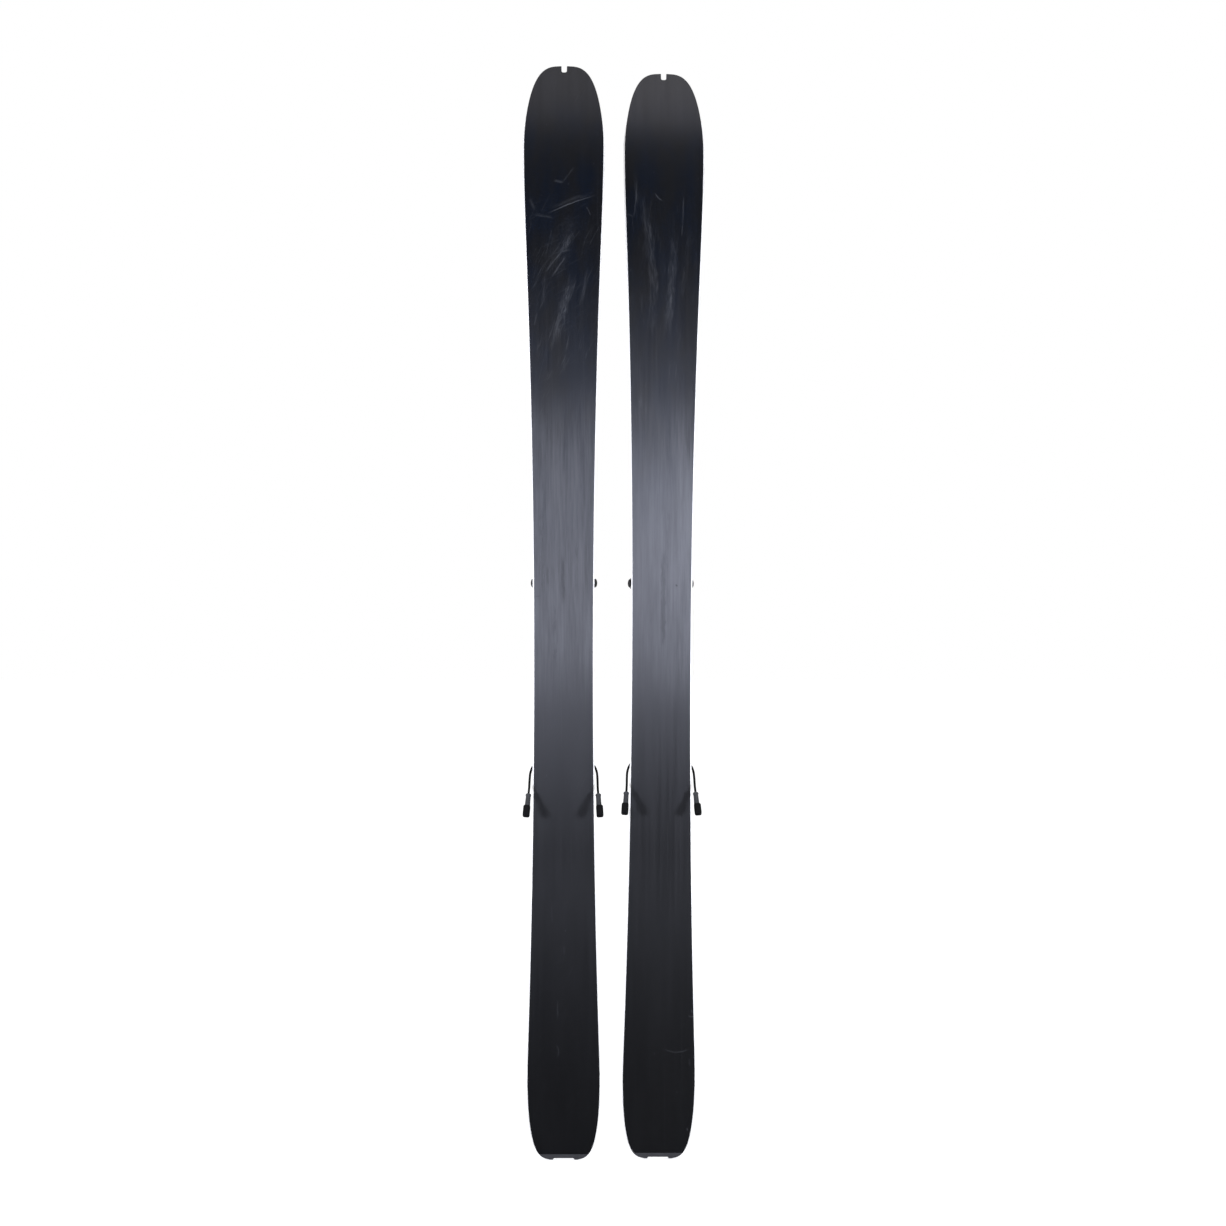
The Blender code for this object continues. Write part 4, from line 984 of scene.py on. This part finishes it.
    piece(pin, side, "lever_pin", PIN_STEEL, side + "_lever")


def fork(reach, each=1):
    pts = [
        (-HEEL_PIN_X, HEEL_PIN_Y, reach), (-HEEL_PIN_X, HEEL_PIN_Y, reach - 0.0008), (-HEEL_PIN_X, HEEL_PIN_Y, 0.0175),
        (-HEEL_PIN_X + 0.0012, HEEL_PIN_Y, 0.0147), (-HEEL_PIN_X + 0.0040, HEEL_PIN_Y, 0.0135),
        (HEEL_PIN_X - 0.0040, HEEL_PIN_Y, 0.0135), (HEEL_PIN_X - 0.0012, HEEL_PIN_Y, 0.0147),
        (HEEL_PIN_X, HEEL_PIN_Y, 0.0175), (HEEL_PIN_X, HEEL_PIN_Y, reach - 0.0008), (HEEL_PIN_X, HEEL_PIN_Y, reach),
    ]
    return pts


def build_heel(side):
    body = side + "_ski"
    heel = slab(rounded(0.0255, 0.5720, 0.6515, 0.008), TOP + GAP, PLATE_TOP, 0.0009)
    heel = join(heel, rod((0, TOP + 0.0040, Z_TURRET), (0, TOP + 0.0195, Z_TURRET), 0.0080))
    for s in (-1, 1):  # ruler-like adjustment notches along the sides
        for i in range(9):
            z = 0.5905 + 0.0042 * i
            xs = sorted((s * 0.0243, s * 0.0275))
            heel = cut(heel, box((xs[0], TOP + 0.0038, z), (xs[1], TOP + 0.0080, z + 0.0012)))
    for x, z in screw_places()[4:]:
        heel = cut(heel, rod((x, TOP - 0.004, z), (x, PLATE_TOP + 0.004, z), 0.0027, sides=24))
    piece(heel, side, "heel_plate", BLACK_ALLOY, body, ["heel_plate"], soften=0.00025)

    at = axis_at((0, TOP, Z_TURRET))
    turret = turned(
        [(0.0057, 0.0), (0.0057, 0.0162), (0.0062, 0.0169), (0.0068, 0.0171), (0.0125, 0.0171), (0.0131, 0.0166), (0.0139, 0.0166),
         (0.0145, 0.0171), (0.0318, 0.0171), (0.0326, 0.0168), (0.0330, 0.0162), (0.0330, 0.0)],
        (0, 0, 0), (0, 1, 0), at, 64,
    )
    barrel = turned(
        [(0, 0.0), (0, 0.0108), (0.0008, 0.0119), (0.0020, 0.0125), (0.0540, 0.0125), (0.0550, 0.0119), (0.0550, 0.0)],
        (0, 0.0300, -0.0370), (0, 0, 1), at, 56,
    )
    front = box((-0.0190, 0.0190, 0.0070), (0.0190, 0.0410, 0.0230), at, r=0.0026, segs=4)
    lug = box((-0.0090, 0.0360, -0.0042), (0.0090, 0.0505, 0.0062), at, r=0.0018, segs=4)
    turret = join(turret, barrel, front, lug)
    for i in range(14):  # grip flutes for a hand to turn it: of the row round the lower drum, only the two at its ends on the +X side are cut
        a = math.radians(-70 + 140 * i / 13)
        for s in (-1, 1):
            c = Vector((s * 0.0178 * math.cos(a), 0, 0.0178 * math.sin(a)))
            turret = cut(turret, rod(c + Vector((0, 0.0156, 0)), c + Vector((0, 0.0178, 0)), 0.0013, at=at, sides=10)) if i % 13 == 0 and s == 1 else turret
    turret = cut(turret, rod((0, -0.0100, 0), (0, 0.0200, 0), 0.0083, at=at))
    turret = cut(turret, rod((-0.0200, RISER_Y, RISER_Z), (0.0200, RISER_Y, RISER_Z), 0.0024, at=at, sides=24))
    turret = cut(turret, tube(fork(0.0450), 0.0028, at, 20))
    # the release adjuster's socket in the barrel's end, with a window below it
    turret = cut(turret, rod((0, 0.0300, -0.0380), (0, 0.0300, -0.0340), 0.0085, at=at))
    turret = cut(turret, box((-0.0040, 0.0410, -0.0300), (0.0040, 0.0450, -0.0140), at, r=0.0012, axis=1))
    piece(turret, side, "heel_turret", PLASTIC, side + "_turret", ["heel_turret"], soften=0.00022)
    cap = turned(
        [(0, 0.0), (0, 0.0080), (0.0028, 0.0080), (0.0034, 0.0074), (0.0034, 0.0)], (0, 0.0300, -0.0335), (0, 0, -1), at, 48
    )
    cap = cut(cap, box((-0.0060, 0.0292, -0.0380), (0.0060, 0.0308, -0.0352), at))
    piece(cap, side, "release_adjuster", ALLOY, side + "_turret", soften=0.0002)

    line = smooth_line(fork(0.0345)[1:-1], 6)
    line = [Vector(fork(0.0345)[0]), *line, Vector(fork(0.0345)[-1])]
    pins = tube(line, 0.0025, at, 24, tip=0.0008)
    piece(pins, side, "heel_pins", PIN_STEEL, side + "_turret", ["heel_pins"], angle=50)

    at = axis_at((0, TOP + RISER_Y, Z_TURRET + RISER_Z))
    riser = box((-0.0135, -0.0020, -0.0460), (0.0135, 0.0026, -0.0065), at, r=0.0014, segs=4)
    for s in (-1, 1):
        xs = sorted((s * 0.0095, s * 0.0135))
        riser = join(riser, box((xs[0], -0.0022, -0.0080), (xs[1], 0.0030, 0.0), at, r=0.0004), rod((xs[0], 0, 0), (xs[1], 0, 0), 0.0040, at=at))
    riser = join(riser, rod((-0.0125, 0, 0), (0.0125, 0, 0), 0.0021, at=at, sides=24))
    for i in range(4):  # treads where the boot's heel stands
        z = -0.0425 + 0.0050 * i
        riser = cut(riser, box((-0.0110, -0.0040, z), (0.0110, -0.0013, z + 0.0022), at, r=0.0006, axis=1))
    riser = cut(riser, box((-0.0070, 0.0016, -0.0380), (0.0070, 0.0060, -0.0160), at, r=0.0024, axis=1))
    piece(riser, side, "riser_flap", ALLOY, side + "_riser", ["riser_flap"], soften=0.0002)


def build_brake(side):
    body = side + "_ski"
    axle = Vector((0, BRAKE_Y, Z_BRAKE))
    bracket = slab(rounded(0.0265, 0.6560, 0.7060, 0.006), TOP + GAP, TOP + 0.0043, 0.0008)
    for s in (-1, 1):
        xs = sorted((s * 0.0200, s * 0.0262))
        bracket = join(bracket, box(
            (xs[0], TOP + 0.0030, Z_BRAKE - 0.0085), (xs[1], TOP + 0.0158, Z_BRAKE + 0.0080), r=0.0018, segs=4
        ))
    bracket = cut(bracket, rod(axle + Vector((-0.034, 0, 0)), axle + Vector((0.034, 0, 0)), 0.0024))
    bracket = cut(bracket, box((-0.0120, TOP + 0.0028, 0.6830), (0.0120, TOP + 0.0070, 0.7000), r=0.0030, axis=1))
    piece(bracket, side, "brake_bracket", PLASTIC, body, ["brake_bracket"], soften=0.00025)

    at = axis_at(axle)
    half_route = [
        (0.0140, 0.0, 0.0), (0.0275, 0.0, 0.0), (0.0345, -0.0006, -0.0065), (0.0404, -0.0019, -0.0170),
        (0.0463, -0.0040, -0.0262), (0.0513, -0.0075, -0.0340), (0.0539, -0.0130, -0.0418), (0.0548, -0.0202, -0.0516),
        (0.0552, -0.0290, -0.0633), (0.0562, -0.0390, -0.0760), (0.0571, -0.0482, -0.0878), (0.0577, -0.0547, -0.0962),
    ]
    right = smooth_line([(0.0, 0.0, 0.0), *half_route], 7)[1:]
    route = [Vector((-p.x, p.y, p.z)) for p in reversed(right)] + [Vector((0, 0, 0))] + right
    piece(tube(route, 0.0019, at, 20), side, "brake_wire", WIRE, side + "_brake", ["brake_wire"], angle=60)

    pat = axis_at(axle, (-PEDAL_RAISE, 0, 0))
    pedal = box((-0.0240, -0.0020, 0.0135), (0.0240, 0.0042, 0.0560), pat, r=0.0018, segs=4)
    pedal = join(pedal, box((-0.0190, -0.0020, 0.0010), (0.0190, 0.0042, 0.0180), pat, r=0.0010), rod(
        (-0.0193, 0, 0), (0.0193, 0, 0), 0.0054, at=pat
    ))
    pedal = cut(pedal, rod((-0.0300, 0, 0), (0.0300, 0, 0), 0.0022, at=pat))
    for i in range(5):  # tread bars under the boot
        z = 0.0190 + 0.0070 * i
        pedal = cut(pedal, box((-0.0200, 0.0030, z), (0.0200, 0.0060, z + 0.0036), pat, r=0.0012, axis=1))
    pedal = cut(pedal, box((-0.0180, -0.0040, 0.0200), (0.0180, -0.0002, 0.0500), pat, r=0.0040, axis=1))
    piece(pedal, side, "brake_pedal", PEDAL, side + "_brake", ["brake_pedal"], soften=0.0002)

    for s, hand in ((-1, "left"), (1, "right")):
        a = Vector((s * 0.0562, -0.0390, -0.0760))
        b = Vector((s * 0.0577, -0.0547, -0.0962))
        turn = Vector((0, 0, -1)).rotation_difference((b - a).normalized()).to_matrix().to_4x4()
        fat = at @ Matrix.Translation(a) @ turn
        # sleeve: ribbed, with a collar at its mouth
        sleeve = turned(
            [(0, 0.0), (0, 0.0040), (0.0006, 0.0046), (0.0019, 0.0046), (0.0025, 0.0041), (0.0050, 0.0040), (0.0150, 0.0042),
             (0.0225, 0.0045), (0.0225, 0.0)],
            (0, 0, 0.0015), (0, 0, -1), fat, 36,
        )
        for i in range(4):
            z = -0.0040 - 0.0038 * i
            ring = cut(rod((0, 0, z), (0, 0, z - 0.0014), 0.0060, at=fat, sides=30), rod((0, 0, z + 0.001), (0, 0, z - 0.003), 0.0038, at=fat, sides=30))
            sleeve = cut(sleeve, ring)
        sleeve = cut(sleeve, rod((0, 0, 0.0100), (0, 0, -0.0290), 0.0023, at=fat, sides=24))
        piece(sleeve, side, "brake_sleeve_" + hand, SLEEVE, side + "_brake", angle=35)
        xs = sorted((s * -0.0050, s * 0.0064))
        foot = box((xs[0], -0.0050, -0.0408), (xs[1], 0.0050, -0.0198), fat, r=0.0032, segs=5)
        foot = cut(foot, rod((0, 0, 0.0100), (0, 0, -0.0290), 0.0023, at=fat, sides=24))
        for i in range(3):
            z = -0.0270 - 0.0034 * i
            foot = cut(foot, box((xs[0] - 0.002, 0.0044, z), (xs[1] + 0.002, 0.0070, z + 0.0014), fat))
        piece(foot, side, "brake_foot_" + hand, FOOT, side + "_brake", ["brake_foot_" + hand], soften=0.00025)


for SIDE in PLACES:
    build_laminate(SIDE)
    build_screws(SIDE)
    build_toe(SIDE)
    build_heel(SIDE)
    build_brake(SIDE)
    core = frame["nodes"][SIDE + "_ski_core"]
    core.data.materials.clear()
    core.data.materials.append(WOOD)

# ---------------------------------------------------------------- stage, lights and camera
scene = bpy.context.scene
scene.view_settings.view_transform = "Standard"

bm = bmesh.new()
bmesh.ops.create_grid(bm, x_segments=1, y_segments=1, size=30.0)
data = bpy.data.meshes.new("floor")
bm.to_mesh(data)
bm.free()
floor = bpy.data.objects.new("floor", data)
floor.location = (0, 0, -0.0006)
scene.collection.objects.link(floor)
pale = bpy.data.materials.new("floor_pale")
pale.use_nodes = True
pb = pale.node_tree.nodes["Principled BSDF"]
pb.inputs["Base Color"].default_value = (0.80, 0.80, 0.80, 1)
pb.inputs["Roughness"].default_value = 0.9
pb.inputs["Specular IOR Level"].default_value = 0.0
pb.inputs["Emission Color"].default_value = (1, 1, 1, 1)
pb.inputs["Emission Strength"].default_value = 0.62
data.materials.append(pale)
floor.visible_glossy = False

world = bpy.data.worlds.new("studio")
scene.world = world
world.use_nodes = True
wt = world.node_tree
wt.nodes.clear()


def wnode(kind, links=(), **props):
    n = wt.nodes.new(kind)
    for k, v in props.items():
        setattr(n, k, v)
    for where, what in dict(links).items():
        if isinstance(what, bpy.types.NodeSocket):
            wt.links.new(what, n.inputs[where])
        else:
            n.inputs[where].default_value = what
    return n


# the room: dim in front (-Y), soft and bright at the sides, above and behind
direction = wnode("ShaderNodeSeparateXYZ", {0: wnode("ShaderNodeTexCoord").outputs["Generated"]})
aside = wnode("ShaderNodeMath", {0: direction.outputs[0]}, operation="ABSOLUTE")
aside = wnode("ShaderNodeMapRange", {0: aside.outputs[0], 1: 0.55, 2: 0.95, 3: 0.0, 4: 0.75}, interpolation_type="SMOOTHSTEP")
behind = wnode("ShaderNodeMapRange", {0: direction.outputs[1], 1: -0.1, 2: 0.5, 3: 0.0, 4: 0.75}, interpolation_type="SMOOTHSTEP")
above = wnode("ShaderNodeMapRange", {0: direction.outputs[2], 1: 0.45, 2: 0.95, 3: 0.0, 4: 0.75}, interpolation_type="SMOOTHSTEP")
level = wnode("ShaderNodeMath", {0: aside.outputs[0], 1: behind.outputs[0]}, operation="MAXIMUM")
level = wnode("ShaderNodeMath", {0: level.outputs[0], 1: above.outputs[0]}, operation="MAXIMUM")
level = wnode("ShaderNodeMath", {0: level.outputs[0], 1: 0.05}, operation="ADD")
room = wnode("ShaderNodeBackground", {"Color": (0.98, 0.99, 1.0, 1), "Strength": level.outputs[0]})
plain = wnode("ShaderNodeBackground", {"Color": (1, 1, 1, 1), "Strength": 1.0})
seen = wnode("ShaderNodeLightPath").outputs["Is Camera Ray"]
mixed = wnode("ShaderNodeMixShader", {0: seen, 1: room.outputs[0], 2: plain.outputs[0]})
wnode("ShaderNodeOutputWorld", {0: mixed.outputs[0]})


def area(name, location, target, size, power, colour=(1, 1, 1), size_y=None):
    light = bpy.data.lights.new(name, "AREA")
    light.energy = power
    light.color = colour
    light.shape = "RECTANGLE"
    light.size = size
    light.size_y = size_y or size
    obj = bpy.data.objects.new(name, light)
    scene.collection.objects.link(obj)
    obj.location = location
    obj.rotation_euler = (Vector(target) - Vector(location)).to_track_quat("-Z", "Y").to_euler()
    obj.visible_camera = False
    return obj


for s, name in ((-1, "left"), (1, "right")):
    a = math.radians(37)
    area("box_" + name, (s * 4.2 * math.sin(a), -4.2 * math.cos(a), 0.95), (0.0, 0.0, 0.93), 0.60, 105.0, (0.79, 0.83, 1.02), 0.60)
area("overhead", (0.0, -1.997, 4.057), (0.0, 0.0, 1.66), 2.6, 9.2, (1.0, 0.97, 1.11), 1.02)

camera = bpy.data.cameras.new("camera")
camera.lens = 76.44
camera.sensor_width = 36.0
view = bpy.data.objects.new("camera", camera)
scene.collection.objects.link(view)
view.location = (ORIGIN_X, BASE_PLANE_Y - 4.2, 0.8852)
view.rotation_euler = (math.pi / 2, 0, 0)
scene.camera = view

for left in list(WORK.objects):
    bpy.data.objects.remove(left)
bpy.data.collections.remove(WORK)
